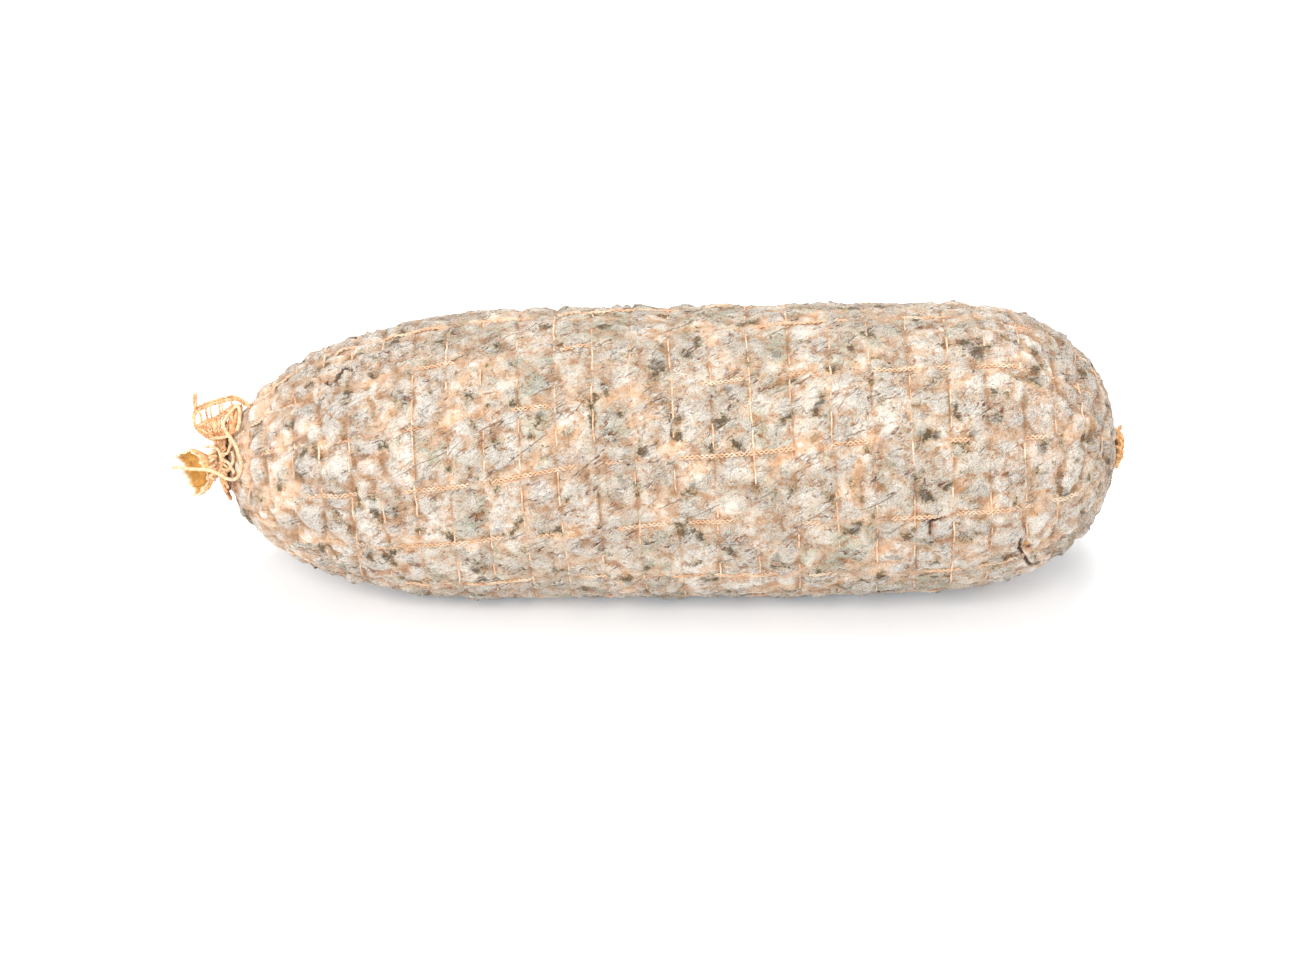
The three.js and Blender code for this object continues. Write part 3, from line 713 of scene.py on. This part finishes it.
# For the material, the ridges lie far from any cord or fold.
for name, value in (
    ("hoop_mm", np.full(len(curl_a), 9.0)),
    ("strand_mm", np.full(len(curl_a), 9.0)),
    ("fold_mm", np.full(len(curl_a), 9.0)),
    ("folded", np.zeros(len(curl_a))),
    ("gathered", np.zeros(len(curl_a))),
    ("cell_tone", np.stack(cell_tones(curl_a, curl_b), -1)),
    ("torn", curl_torn[kept]),
    ("lay", curl_lay[kept] * MM),
    ("bare", curl_bare[kept]),
):
    give(curls, name, np.repeat(value, RIDGE_POINTS, 0))

# ---- Net: hoops ----
# Thin two-ply threads round the piece, stretched tight. They have sunk into the casing, and mould
# has grown over parts of them.
HOOP_WIDE = 0.46
HOOP_THICK = 0.34
HOOP_LAY = 2.6  # one full twist of the two plies
HOOP_STEP = 0.62
HOOP_STAND = 0.22  # how far its middle stands off the groove where it is bare
THREAD_SIDES = 5
NET_LOWEST = 0.1  # the net is pressed flat too


def section(sides):
    """Across and up for each corner of a round section of radius 1."""
    turn = np.arange(sides) * 2 * np.pi / sides
    return np.cos(turn), np.sin(turn)


def evened(values, reach, ring):
    """Values along a line, smoothed over this many neighbours to either side."""
    kernel = np.hanning(2 * reach + 3)[1:-1]
    padded = np.pad(values, reach, mode="wrap" if ring else "edge")
    return np.convolve(padded, kernel / kernel.sum(), mode="valid")


def groove_line(a, b, reach, ring):
    """A cord's line in its groove: places, outward and lengthwise directions, and how buried it is."""
    place, outward, lengthwise, rise = skin(a, b)[:4]
    return place + outward * evened(rise, reach, ring)[:, None], outward, lengthwise, grown_over(place)


class Heap:
    """Points and faces of many cords, heaped up for one mesh."""

    def __init__(self):
        self.points, self.faces, self.count = [], [], 0

    def tube(self, rings, closed):
        """Adds a tube of one ring of points for each place along it, with flat ends unless closed."""
        rows, sides = rings.shape[:2]
        self.faces += grid_faces(rows, sides, self.count, closed)
        if not closed:
            first, last = self.count, self.count + (rows - 1) * sides
            self.faces.append(tuple(range(first, first + sides)))
            self.faces.append(tuple(range(last + sides - 1, last - 1, -1)))
        self.points.append(rings.reshape(-1, 3))
        self.count += rows * sides

    def joined(self):
        """All the points in one array."""
        return np.concatenate(self.points)


hoops = Heap()
for a in range(HOOPS):
    radius_at_strand_2 = float(on_net(np.array([float(a)]), np.array([2.0]))[3][0])
    around = 2 * np.pi * radius_at_strand_2
    count = max(40, int(around / HOOP_STEP))
    b = np.arange(count) * STRANDS / count
    centre, outward, lengthwise, buried = groove_line(np.full(count, float(a)), b, 4, True)
    buried = smooth_step(-0.25, 0.15, lumps(centre + 300, 9, 3)) * 0.6 + 0.5 * buried
    buried += 0.5 * knobbiness(centre[:, 0]) * smooth_step(-0.3, 0.1, lumps(centre + 800, 10, 2))
    centre = centre + outward * (HOOP_STAND - buried)[:, None]
    twist = 2 * np.pi * round(around / HOOP_LAY) * np.arange(count)[:, None] / count
    centre = centre + lengthwise * (0.3 * lumps(centre + 90, 6, 2) + 0.9 * lumps(centre + 30, 30))[:, None]
    swollen = 1 + 0.35 * lumps(centre + 60, 4, 2)[:, None]
    wide, thick = (swollen * values for values in section(THREAD_SIDES))
    across = HOOP_WIDE * wide * np.cos(twist) - HOOP_THICK * thick * np.sin(twist)
    above = HOOP_WIDE * wide * np.sin(twist) + HOOP_THICK * thick * np.cos(twist)
    rings = centre[:, None] + across[..., None] * lengthwise[:, None] + above[..., None] * outward[:, None]
    hoops.tube(rings, True)
hoop_points = hoops.joined()
hoop_points[:, 2] = np.maximum(hoop_points[:, 2], NET_LOWEST)


def cotton(name, colour, patches, roughness):
    """Dull cotton with patches (shade, size in mm, from, to, strength) and fibres across it."""
    yarn = new_material(name)
    here = add(yarn, "TexCoord").outputs["Object"]
    colour = linear(colour)
    for shade, size, low, high, strength in patches:
        patch = add(yarn, "TexNoise", {"Vector": here, "Scale": 1000 / size, "Detail": 3, "Roughness": 0.6})
        colour = laid_over(yarn, colour, shade, patch, low, high, strength)
    # Real fibres of 0.02 mm are too fine to show, so they are drawn at 0.3 mm.
    fibre = add(yarn, "TexNoise", {"Vector": here, "Scale": 1000 / 0.3, "Detail": 2, "Roughness": 0.6})
    fibre_bump = add(yarn, "Bump", {"Strength": 0.8, "Distance": 0.2 * MM, "Height": fibre})
    look = {"Base Color": colour, "Roughness": roughness, "Sheen Weight": 0.2, "Normal": fibre_bump}
    add(yarn, "OutputMaterial", {"Surface": add(yarn, "BsdfPrincipled", look)})
    return yarn


# Cotton takes up the juices and dries tan; mould dusts it cream where it lies proud.
net_patches = (
    ("#dfbd9e", 3.5, 0.38, 0.62, 1.0),
    ("#b98a63", 2.6, 0.52, 0.66, 0.8),
    ("#dfd0ba", 4.8, 0.48, 0.6, 0.85),
)
net_thread = cotton("tan_cotton_net_thread", "#d6ab87", net_patches, 0.9)
make_piece("net_hoops", hoop_points, hoops.faces, net_thread, "net")

# ---- Net: strands ----
# Chain-stitched cords along the piece, which hold the hoops at their distance. Each is about two
# millimetres wide, and runs on under the tie, where they are drawn together.
STITCH = 1.7  # length of one stitch of the chain
STRAND_STEP = 0.55
PLY_RADIUS = 0.37
PLY_SWING = 0.58  # to either side,
PLY_LIFT = 0.26  # and over and under each other
STRAND_STAND = 0.4  # how far its middle stands off the groove where it is bare,
STRAND_SUNK = 1.4  # and how much deeper it lies where crust has closed over it

strands = Heap()
fine_a = np.linspace(0, HOOPS - 1, 600)
strand_lengths = np.arange(FIRST_HOOP, FIRST_HOOP + net_length, STRAND_STEP)
strand_a = np.interp(strand_lengths, hoop_length(fine_a), fine_a)
for b in range(STRANDS):
    centre, outward, lengthwise, buried = groove_line(strand_a, np.full(len(strand_a), float(b)), 5, False)
    sideways = np.cross(outward, lengthwise)
    from_ends = strand_lengths - FIRST_HOOP, strand_lengths[::-1] - FIRST_HOOP
    width = 0.45 + 0.55 * smooth_step(0, 16, from_ends[0]) * smooth_step(0, 12, from_ends[1])
    sunk_at_ends = knobbiness(centre[:, 0]) * smooth_step(-0.3, 0.1, lumps(centre + 700, 12, 2))
    buried = np.maximum(buried, 0.75 * sunk_at_ends)
    centre = centre + outward * (STRAND_STAND - STRAND_SUNK * buried)[:, None]
    beat = 2 * np.pi * strand_lengths / (2 * STITCH) + b
    wide, thick = (values[None, :, None] for values in section(THREAD_SIDES))
    around = PLY_RADIUS * width[:, None, None] * (wide * sideways[:, None] + thick * outward[:, None])
    for side in (-1, 1):
        swing = side * PLY_SWING * width * np.sin(beat)
        lift = side * PLY_LIFT * np.cos(beat) * np.sign(np.cos(beat / 2))
        line = centre + sideways * swing[:, None] + outward * lift[:, None]
        strands.tube(line[:, None] + around, False)
strand_points = strands.joined()
strand_points[:, 2] = np.maximum(strand_points[:, 2], NET_LOWEST)
make_piece("net_strands", strand_points, strands.faces, net_thread, "net")

# ---- Net: open end ----
# Beyond the tie the net is folded back up over the shoulder. It stands there as a stiff fan of
# thick rim cord and thin cross threads, dried tan and seen against the light.
END_LEAN = math.radians(28)  # what stands up at the tied end leans back
RIM_RADIUS = 0.6
BAND_RADIUS = 0.5
BAR_RADIUS = 0.45
PLY_SIDES = 6
BUNCHED = 19  # cords between the inner band and the tie
SHOULDER_LOOPS = 34
HUNG = 12  # cords between the fan and the shoulder


def end_at(x, up, front):
    """A place at the tied end: x, height over the neck and reach to the front, in a leaning plane."""
    return (
        x,
        up * math.sin(END_LEAN) - front * math.cos(END_LEAN),
        NECK_Z + up * math.cos(END_LEAN) + front * math.sin(END_LEAN),
    )


def over_shoulder(x, up, height):
    """The same, but this far above the skin on the front of the shoulder."""
    return end_at(x, up, math.sqrt(max(0, float(girth(x)) ** 2 - up**2)) + height)


def flowing(points, step, closed):
    """Places at even steps along a smooth curve through the points, and the curve's length."""
    p = np.array(points, float)
    ends = (p[-1:], p[:2]) if closed else (2 * p[:1] - p[1:2], 2 * p[-1:] - p[-2:-1])
    p = np.concatenate([ends[0], p, ends[1]])
    t = np.linspace(0, 1, 24, endpoint=False)[:, None]
    parts = []
    for p0, p1, p2, p3 in zip(p, p[1:], p[2:], p[3:]):
        bend = 2 * p0 - 5 * p1 + 4 * p2 - p3
        swing = 3 * p1 - p0 - 3 * p2 + p3
        parts.append(p1 + 0.5 * t * (p2 - p0) + 0.5 * t**2 * bend + 0.5 * t**3 * swing)
    line = np.concatenate(parts + [p[-3:-2] if closed else p[-2:-1]])
    if closed:
        line[-1] = line[0]
    run = np.concatenate([[0], np.cumsum(np.linalg.norm(np.diff(line, axis=0), axis=1))])
    count = max(4, round(run[-1] / step)) + 1
    even = np.linspace(0, run[-1], count)
    line = np.stack([np.interp(even, run, line[:, k]) for k in range(3)], -1)
    return (line[:-1] if closed else line), run[-1]


def carried_frames(line, closed):
    """Two directions across the line at each place, carried along it without twist."""
    ahead = np.roll(line, -1, 0) - np.roll(line, 1, 0) if closed else np.gradient(line, axis=0)
    ahead /= np.linalg.norm(ahead, axis=1)[:, None]
    side = np.cross(ahead[0], [0.3, 0.2, 0.93])
    sides = []
    for direction in ahead:
        side = side - direction * (side @ direction)
        side = side / np.linalg.norm(side)
        sides.append(side)
    return np.array(sides), np.cross(ahead, sides)


def twine(heap, points, radius, plies=2, lay=4.0, closed=False, step=0.4, relief=0.5, wobble=0.2):
    """A cord of twisted plies along the points. The relief is how far apart the plies lie."""
    line, run = flowing(points, step, closed)
    line = line + wobble * np.stack([lumps(line + shift, 2.8, 2) for shift in (0, 50, 90)], -1)
    first, second = carried_frames(line, closed)
    count = len(line)
    share = np.arange(count) / (count if closed else count - 1)
    turns = round(run / lay) if closed else run / lay
    reach = radius * relief if plies > 1 else 0
    wide, thick = ((radius - reach * 0.85) * values[None, :, None] for values in section(PLY_SIDES))
    around = wide * first[:, None] + thick * second[:, None]
    for ply in range(plies):
        turn = 2 * np.pi * (turns * share + ply / plies)
        centre = line + first * (reach * np.cos(turn))[:, None] + second * (reach * np.sin(turn))[:, None]
        heap.tube(centre[:, None] + around, closed)


def at_end(points, x=0.0, up=0.0, front=0.0):
    """The points as places at the tied end, all moved by x, up and front."""
    return [end_at(p[0] + x, p[1] + up, p[2] + front) for p in points]


# The fan's rim is two cords side by side, and the band inside it is three.
fan = Heap()
rim = [
    (-153.0, 8.0, 4.2),
    (-156.8, 9.8, 4.4),
    (-160.4, 12.0, 3.4),
    (-162.7, 14.4, 2.0),
    (-163.3, 17.2, 1.4),
    (-162.2, 20.0, 1.2),
    (-159.4, 21.4, 1.0),
    (-156.6, 22.4, 0.8),
    (-152.6, 23.6, 0.8),
    (-148.9, 24.3, 1.2),
    (-146.4, 23.4, 3.0),
    (-144.3, 22.3, 6.0),
    (-141.6, 21.2, 10.6),
]
for offset in ((0, 0, 0), (0.35, -1.0, 0.5)):
    twine(fan, at_end(rim, *offset), RIM_RADIUS, lay=3.4, relief=0.4)
# At the far corner the rim's cord curls round on itself.
far_corner = [
    (-162.9, 19.0, 2.0),
    (-161.0, 18.4, 2.6),
    (-160.2, 16.2, 3.0),
    (-160.8, 13.8, 3.2),
    (-162.4, 13.8, 2.6),
]
twine(fan, at_end(far_corner), BAND_RADIUS, lay=3.0, relief=0.4)
inner_band = [
    (-161.8, 13.6, 2.8),
    (-159.0, 15.4, 2.6),
    (-155.6, 16.6, 2.4),
    (-152.2, 18.8, 2.6),
    (-148.6, 21.0, 3.0),
    (-145.4, 21.0, 6.2),
]
for offset in ((0, 0, 0), (0.2, -0.9, 0.3), (0.1, -0.4, -0.7)):
    twine(fan, at_end(inner_band, *offset), BAND_RADIUS, lay=3.0, relief=0.4)
# Two cut threads stick up at the far corner, and bars of thread join the rim and the inner band.
for x in (-162.6, -162.1):
    twine(fan, at_end([(x, 19.0, 1.4), (x - 0.3, 22.0, 1.6), (x - 0.4, 25.3, 2.0)]), BAND_RADIUS, plies=1)
for x, low_up, high_up in (
    (-158.6, 16.2, 22.0),
    (-157.0, 16.6, 22.4),
    (-153.8, 18.0, 23.2),
    (-152.8, 18.6, 23.5),
    (-149.4, 20.6, 24.2),
):
    bar = [(x + 0.5, low_up, 2.6), (x - 0.1, (low_up + high_up) / 2, 2.0), (x + 0.2, high_up, 1.0)]
    twine(fan, at_end(bar), BAR_RADIUS, lay=2.6, relief=0.4)
# Below its inner band the net is bunched: cords run together down to the tie, and others cross them.
for k in range(BUNCHED):
    share = min(1, max(0, (k + scatter(k, 1) - 0.5) / (BUNCHED - 1)))
    top = np.array(inner_band[0]) * (1 - share) + np.array(inner_band[-1]) * share
    top[1] += 3.0 * math.sin(math.pi * share) * (0.4 - share) - 0.4
    wave = 1.3 * (scatter(k, 2) - 0.5)
    bunch = [
        tuple(top),
        (top[0] * 0.6 - 153.2 * 0.4 + wave, top[1] * 0.6 + 3.2, 4.2 + 2.4 * scatter(k, 5)),
        (top[0] * 0.3 - 153.0 * 0.7 - wave, 8.4 + 2 * scatter(k, 7), 4.6 + 2.2 * scatter(k, 8)),
        (-153.4 + 3.4 * (share - 0.5), 5.4, 3.4 + 1.2 * scatter(k, 9)),
    ]
    twine(fan, at_end(bunch), BAR_RADIUS + 0.25 * scatter(k, 4), lay=3.2, relief=0.28, wobble=0.5)
for k, (left, right, up) in enumerate(
    ((-161.0, -150.4, 13.6), (-160.0, -148.4, 11.8), (-158.4, -147.6, 10.2), (-156.4, -148.8, 9.2))
):
    across = []
    for n in range(6):
        waved = up + 0.9 * math.sin(2.2 * n + 2 * k)
        across.append((left + (right - left) * n / 5, waved, 5.6 + 1.1 * math.sin(1.9 * n + k)))
    twine(fan, at_end(across), 0.55, lay=3.2, relief=0.28, wobble=0.6)
# Round the gathered neck it lies on the shoulder in short loops, between the meat and the tie.
shoulder_x = np.linspace(TAPER_X, TAPER_X + 20, 200)


def on_shoulder(turn, reach, stand):
    """A place at this turn round the neck and distance from its middle, this far off the shoulder."""
    x = np.interp(reach, girth(shoulder_x), shoulder_x) - stand
    return (x, -reach * math.cos(turn), NECK_Z + reach * math.sin(turn))


for k in range(SHOULDER_LOOPS):
    turn = 2 * math.pi * (k + 0.6 * scatter(k, 11)) / SHOULDER_LOOPS
    wide = 0.22 + 0.3 * scatter(k, 12)
    far = 8.5 + 6 * scatter(k, 13)
    out_and_back = ((4.6, 1.6), (6.4, 1.8), (far, 0.9), (far - 1.2, 1.2), (6.2, 2.0), (4.6, 1.4))
    loop = []
    for n, (reach, stand) in enumerate(out_and_back):
        angle = turn + wide * (n - 2.5) / 2.5 * (1 + 0.4 * math.sin(2 * k))
        loop.append(on_shoulder(angle, reach + 0.5 * math.sin(3 * n + 5 * k), stand + 0.5 * scatter(k, n)))
    twine(fan, loop, 0.46 + 0.14 * scatter(k, 15), lay=3.0, relief=0.3, wobble=0.4)

# Between the fan and the shoulder the net is drawn together in a thick mass.
for k in range(HUNG):
    share = k / (HUNG - 1)
    hung = [
        end_at(-150.4 + 5.2 * share, 19.6 + 0.8 * share, 3.6 + 2.4 * share),
        end_at(-149.8 + 4.0 * share + scatter(k, 21), 16.4 + scatter(k, 22), 6.4 + 2.0 * scatter(k, 23)),
        end_at(-149.2 + 2.6 * share + scatter(k, 24), 13.4 + scatter(k, 25), 8.6 + 1.6 * scatter(k, 26)),
        over_shoulder(-148.2 + 1.2 * share, 9.4 + 2.6 * share, 0.9),
    ]
    twine(fan, hung, 0.5 + 0.2 * scatter(k, 27), lay=3.2, relief=0.28, wobble=0.5)

# Clean of mould, so the cotton is a warmer, clearer tan than on the meat.
fan_patches = (("#e9c194", 2.4, 0.38, 0.6, 1.0), ("#b27040", 3.1, 0.54, 0.68, 0.8))
fan_thread = cotton("dried_tan_net_cord", "#d49b67", fan_patches, 0.85)
make_piece("net_fan", fan.joined(), fan.faces, fan_thread, "net")

# ---- Casing's cut end ----
# The casing is gathered through the tie and cut off beyond it. It has dried into a stiff, flattened
# funnel, golden inside, whose front wall is cut back to the tie, so that one looks into it.
TAIL_LENGTH = 10.6
TAIL_WALL = 0.5
TAIL_COLUMNS = 160  # points round each ring of the mesh
MOUTH_CUT = 7.4  # how much shorter the front wall is
MOUTH_TALL = 7.6  # from the middle to the top edge
MOUTH_DEEP = 4.4  # from the middle to the back edge
tail_start = np.array(end_at(-156.4, 0.2, 1.0))
tail_axis = np.array(end_at(-0.88, -0.4, 0.12)) - end_at(0, 0, 0)
tail_axis /= np.linalg.norm(tail_axis)
tail_up = np.array(end_at(-0.33, 0.94, 0)) - end_at(0, 0, 0)
tail_up -= tail_axis * (tail_up @ tail_axis)
tail_up /= np.linalg.norm(tail_up)
tail_front = np.cross(tail_up, tail_axis)


def tail_ring(share, inset):
    """One ring of the funnel's wall, at this share of its length and this far inside its outer face."""
    angle = 2 * np.pi * np.arange(TAIL_COLUMNS) / TAIL_COLUMNS
    up, front = np.sin(angle), np.cos(angle)
    flare = math.sin(math.pi / 2 * min(1, max(0, share) * 1.25))
    fine_fold = 0.02 * np.sin(31 * angle + 2) + 0.014 * np.sin(53 * angle)
    crumple = flare * (0.06 * np.sin(5 * angle + 1 + 2 * share) + 0.03 * np.sin(11 * angle + 4 * share))
    crumple += 1.6 * fine_fold * max(0, share) ** 3
    tall = (NECK_RADIUS + 0.6 + (MOUTH_TALL - NECK_RADIUS) * flare) * (1 + crumple) - inset
    deep = (NECK_RADIUS + 0.4 + (MOUTH_DEEP - NECK_RADIUS) * flare) * (1 + 1.5 * crumple) - inset
    ragged = 0.04 * share**4 * (np.sin(9 * angle) + 0.6 * np.sin(23 * angle + 2) + np.sin(4 * angle + 1))
    cut_back = MOUTH_CUT * max(0, share) * np.maximum(0, front) ** 0.8
    length = TAIL_LENGTH * (share + ragged) - cut_back
    return (
        tail_start
        + length[:, None] * tail_axis
        + (tall * up)[:, None] * tail_up
        + (deep * front)[:, None] * tail_front
    )


# Out along the outer face, over the swollen cut edge and back in along the inner face.
tail_shares = [(s, 0.0) for s in np.linspace(-0.3, 0.98, 30)] + [(1.0, -0.25), (1.02, 0.1)]
tail_shares += [(s, TAIL_WALL) for s in np.linspace(0.98, 0.06, 26)]
tail_rings = np.array([tail_ring(s, inset) for s, inset in tail_shares])
flat = tail_rings.reshape(-1, 3)
tail_wrinkle = 0.3 * lumps(flat, 2.2, 2) + 0.25 * lumps(flat * [0.35, 1, 1] + 9, 1.3)
wrinkled = flat + tail_wrinkle[:, None] * (0.5 * tail_front + 0.25 * tail_up)
tail = Heap()
tail.tube(wrinkled.reshape(tail_rings.shape), False)

# Dried gut is golden and a little see-through inside. Outside it has a pale bloom, and its cut edge
# a crust of fat.
gut = new_material("dried_natural_casing")
here = add(gut, "TexCoord").outputs["Object"]
inside, edge = (add(gut, "Attribute", attribute_name=name).outputs["Fac"] for name in ("inside", "edge"))
golden_inside = {"Factor": inside, "A": linear("#dfb386"), "B": linear("#bb8534")}
colour = add(gut, "Mix", golden_inside, data_type="RGBA")
for shade, size, low, high, strength in (
    ("#d8a556", 4.0, 0.4, 0.6, 0.8),
    ("#ecd2b2", 2.9, 0.6, 0.7, 0.7),
    ("#96602a", 1.4, 0.44, 0.34, 0.6),
):
    patch = add(gut, "TexNoise", {"Vector": here, "Scale": 1000 / size, "Detail": 4, "Roughness": 0.65})
    colour = laid_over(gut, colour, shade, patch, low, high, strength)
colour = add(gut, "Mix", {"Factor": edge, "A": colour, "B": linear("#f3dcbf")}, data_type="RGBA")
creased = add(gut, "TexNoise", {"Vector": here, "Scale": 1000 / 0.9, "Detail": 4, "Roughness": 0.65})
skin_bump = add(gut, "Bump", {"Strength": 0.9, "Distance": 0.5 * MM, "Height": creased})
dried_look = {
    "Base Color": colour,
    "Roughness": 0.55,
    "IOR": 1.45,
    "Subsurface Weight": 0.1,
    "Subsurface Radius": (2 * MM, 1.1 * MM, 0.5 * MM),
    "Subsurface Scale": 1.0,
    "Normal": skin_bump,
}
add(gut, "OutputMaterial", {"Surface": add(gut, "BsdfPrincipled", dried_look)})
cut_end = make_piece("casing_cut_end", tail.joined(), tail.faces, gut, "cured_meat")
give(cut_end, "inside", np.repeat([float(inset > 0.2) for _, inset in tail_shares], TAIL_COLUMNS))
give(cut_end, "edge", np.repeat([smooth_step(0.84, 1.0, share) for share, _ in tail_shares], TAIL_COLUMNS))

# ---- Tie string ----
# Three-ply cotton twine, wound round the gathered neck and knotted. It is drawn up over the net's
# folded end, comes down over the shoulder in a loop, and ends past the casing's cut end.
TWINE_RADIUS = 0.66
TWINE_LAY = 4.4  # one full twist of the three plies
KNOT_TWINE_RADIUS = 0.62  # drawn tight
KNOT_LAY = 4.0
TIE_X = -154.9
WRAP_RADIUS = 4.75

tie = Heap()
for k, offset in enumerate((-1.9, -0.65, 0.6, 1.85)):
    tilt = 0.14 * math.sin(5 * k + 1)
    turn = [
        (
            TIE_X + offset + tilt * WRAP_RADIUS * math.sin(t),
            -(WRAP_RADIUS + 0.25 * math.sin(3 * k + 2 * t)) * math.cos(t),
            NECK_Z + (WRAP_RADIUS + 0.3 * math.cos(2 * k + t)) * math.sin(t),
        )
        for t in np.arange(10) * 2 * math.pi / 10
    ]
    twine(tie, turn, TWINE_RADIUS, plies=3, lay=TWINE_LAY, closed=True, relief=0.34)
loop = [
    over_shoulder(-145.6, 11.6, 1.4),
    over_shoulder(-145.2, 14.6, 1.4),
    end_at(-145.4, 18.0, 9.4),
    end_at(-146.7, 20.9, 6.4),
    end_at(-148.8, 18.6, 7.2),
    end_at(-150.7, 16.1, 8.2),
    end_at(-151.4, 14.0, 9.4),
    end_at(-150.0, 11.4, 11.6),
    end_at(-148.2, 9.3, 14.0),
    over_shoulder(-146.4, 7.4, 2.0),
    over_shoulder(-144.9, 4.7, 1.6),
    over_shoulder(-143.8, 1.9, 1.5),
    over_shoulder(-143.3, -0.8, 1.5),
    over_shoulder(-143.7, -3.1, 1.6),
    over_shoulder(-145.1, -4.9, 1.9),
    end_at(-147.2, -5.6, 16.6),
    end_at(-149.6, -5.2, 13.4),
    end_at(-151.9, -4.2, 10.8),
    end_at(-154.4, -3.0, 9.4),
    end_at(-157.3, -2.1, 8.8),
    end_at(-160.8, -1.9, 7.6),
    end_at(-164.7, -1.7, 6.6),
    end_at(-168.0, -1.4, 6.2),
    end_at(-170.4, -1.2, 6.0),
]
twine(tie, loop, TWINE_RADIUS, plies=3, lay=TWINE_LAY, relief=0.3, wobble=0.12)
# The knot is wound upright, over the wraps. Its ends show as short loops beside it.
winding = [
    end_at(
        -155.8 + (0.95 + 0.3 * math.sin(1.7 * t)) * math.cos(2 * math.pi * t),
        4.8 - 10.2 * (t + 0.25 * math.sin(2.3 * t)) / 6,
        6.1 + (0.95 + 0.25 * math.sin(2.9 * t)) * math.sin(2 * math.pi * t),
    )
    for t in np.arange(0, 6.01, 1 / 6)
]
twine(tie, winding, KNOT_TWINE_RADIUS, plies=3, lay=KNOT_LAY, relief=0.34, step=0.3, wobble=0.4)
knot_ends = [
    at_end(
        [
            (-158.6, 5.8, 4.2),
            (-156.6, 6.2, 5.6),
            (-154.4, 5.6, 6.8),
            (-153.0, 3.9, 7.8),
            (-152.2, 1.6, 8.2),
            (-152.2, -1.2, 8.2),
            (-153.4, -3.2, 6.8),
        ]
    ),
    at_end(
        [
            (-156.4, 9.0, 5.4),
            (-154.4, 9.4, 7.6),
            (-152.0, 9.4, 9.4),
            (-149.8, 9.8, 11.0),
            (-148.4, 10.6, 11.6),
        ]
    ),
    [
        end_at(-153.2, 3.4, 6.4),
        end_at(-151.6, 3.4, 9.2),
        over_shoulder(-149.8, 3.9, 1.8),
        over_shoulder(-148.6, 5.2, 1.8),
        over_shoulder(-147.8, 7.2, 1.8),
        over_shoulder(-148.8, 8.6, 1.6),
    ],
    [
        end_at(-152.6, -3.4, 7.2),
        over_shoulder(-149.8, -2.6, 1.6),
        over_shoulder(-147.6, -0.6, 1.4),
        over_shoulder(-146.8, 2.0, 1.4),
        over_shoulder(-147.6, 4.4, 1.5),
    ],
    [
        end_at(-151.6, 1.6, 8.6),
        over_shoulder(-149.4, 0.6, 1.5),
        over_shoulder(-147.4, -1.4, 1.4),
        over_shoulder(-146.2, -3.4, 1.4),
    ],
]
for line in knot_ends:
    twine(tie, line, 0.6, plies=3, lay=KNOT_LAY, relief=0.32, wobble=0.3)

# Undyed cotton, cream on the plies' backs and tan between them, with loose fibres.
twine_patches = (("#edcfa9", 2.0, 0.38, 0.6, 1.0), ("#bd8251", 2.6, 0.58, 0.7, 0.6))
cotton_twine = cotton("undyed_cotton_twine", "#dfb187", twine_patches, 0.88)
make_piece("tie_twine", tie.joined(), tie.faces, cotton_twine, "tie_string")

# ---- End knot ----
# At the blunt end the net's cords are drawn together and knotted into a small flat rosette, which
# has stayed clean and orange-tan.
KNOT_X = BLUNT_X + 0.75
ROSETTE_RINGS = ((4.6, -0.1), (3.1, 0.5), (1.5, 0.9))  # reach from its middle, and how far it stands out
SPOKES = 13
knot = Heap()


def knot_place(out, reach, turn):
    """A place this far out from the pole, at this reach and turn (upward from the back)."""
    return (KNOT_X + out, reach * math.cos(turn), AXIS_Z + BLUNT_RISE + 1.12 * reach * math.sin(turn))


for k, (reach, stand) in enumerate(ROSETTE_RINGS):
    ring = [
        knot_place(stand + 0.5 * math.sin(3 * t + 2 * k), reach * (1 + 0.12 * math.sin(2 * t + k)), t)
        for t in np.arange(12) * 2 * math.pi / 12
    ]
    twine(knot, ring, 0.95 - 0.06 * k, closed=True, relief=0.36, wobble=0.5)
# Cords run in from the net over the rings, each with a slight turn, and are tucked in at the middle.
for k in range(SPOKES):
    t = 2 * math.pi * (k + 0.5 * scatter(k, 3)) / SPOKES
    inward = enumerate(((-1.4, 6.4), (0.7, 5.0), (1.5, 2.8), (1.3, 0.8)))
    spoke = [knot_place(out, reach, t + 0.25 * n) for n, (out, reach) in inward]
    twine(knot, spoke, 0.62, lay=3.2, relief=0.36, wobble=0.4)
# Two slack loops of the same cord stand out above and below.
for middle, far in ((math.radians(97), 8.4), (math.radians(-84), 7.4)):
    slack = [
        knot_place(out, reach, middle + turn)
        for out, reach, turn in (
            (-0.6, 4.6, -0.2),
            (0.4, 0.84 * far, -0.16),
            (0.4, far, -0.02),
            (-0.3, 0.98 * far, 0.12),
            (-0.6, 0.8 * far, 0.2),
            (-0.9, 4.8, 0.16),
        )
    ]
    twine(knot, slack, 0.55, lay=3.2, relief=0.36, wobble=0.2)
# The same cotton as the net, soaked with fat and never touched by mould: bright orange-tan.
knot_patches = (("#edbf86", 2.4, 0.38, 0.6, 0.9), ("#b87638", 2.8, 0.54, 0.68, 0.8))
knot_cord = cotton("fat_soaked_cotton_cord", "#da9f61", knot_patches, 0.8)
make_piece("end_rosette", knot.joined(), knot.faces, knot_cord, "end_knot")

low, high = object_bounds()
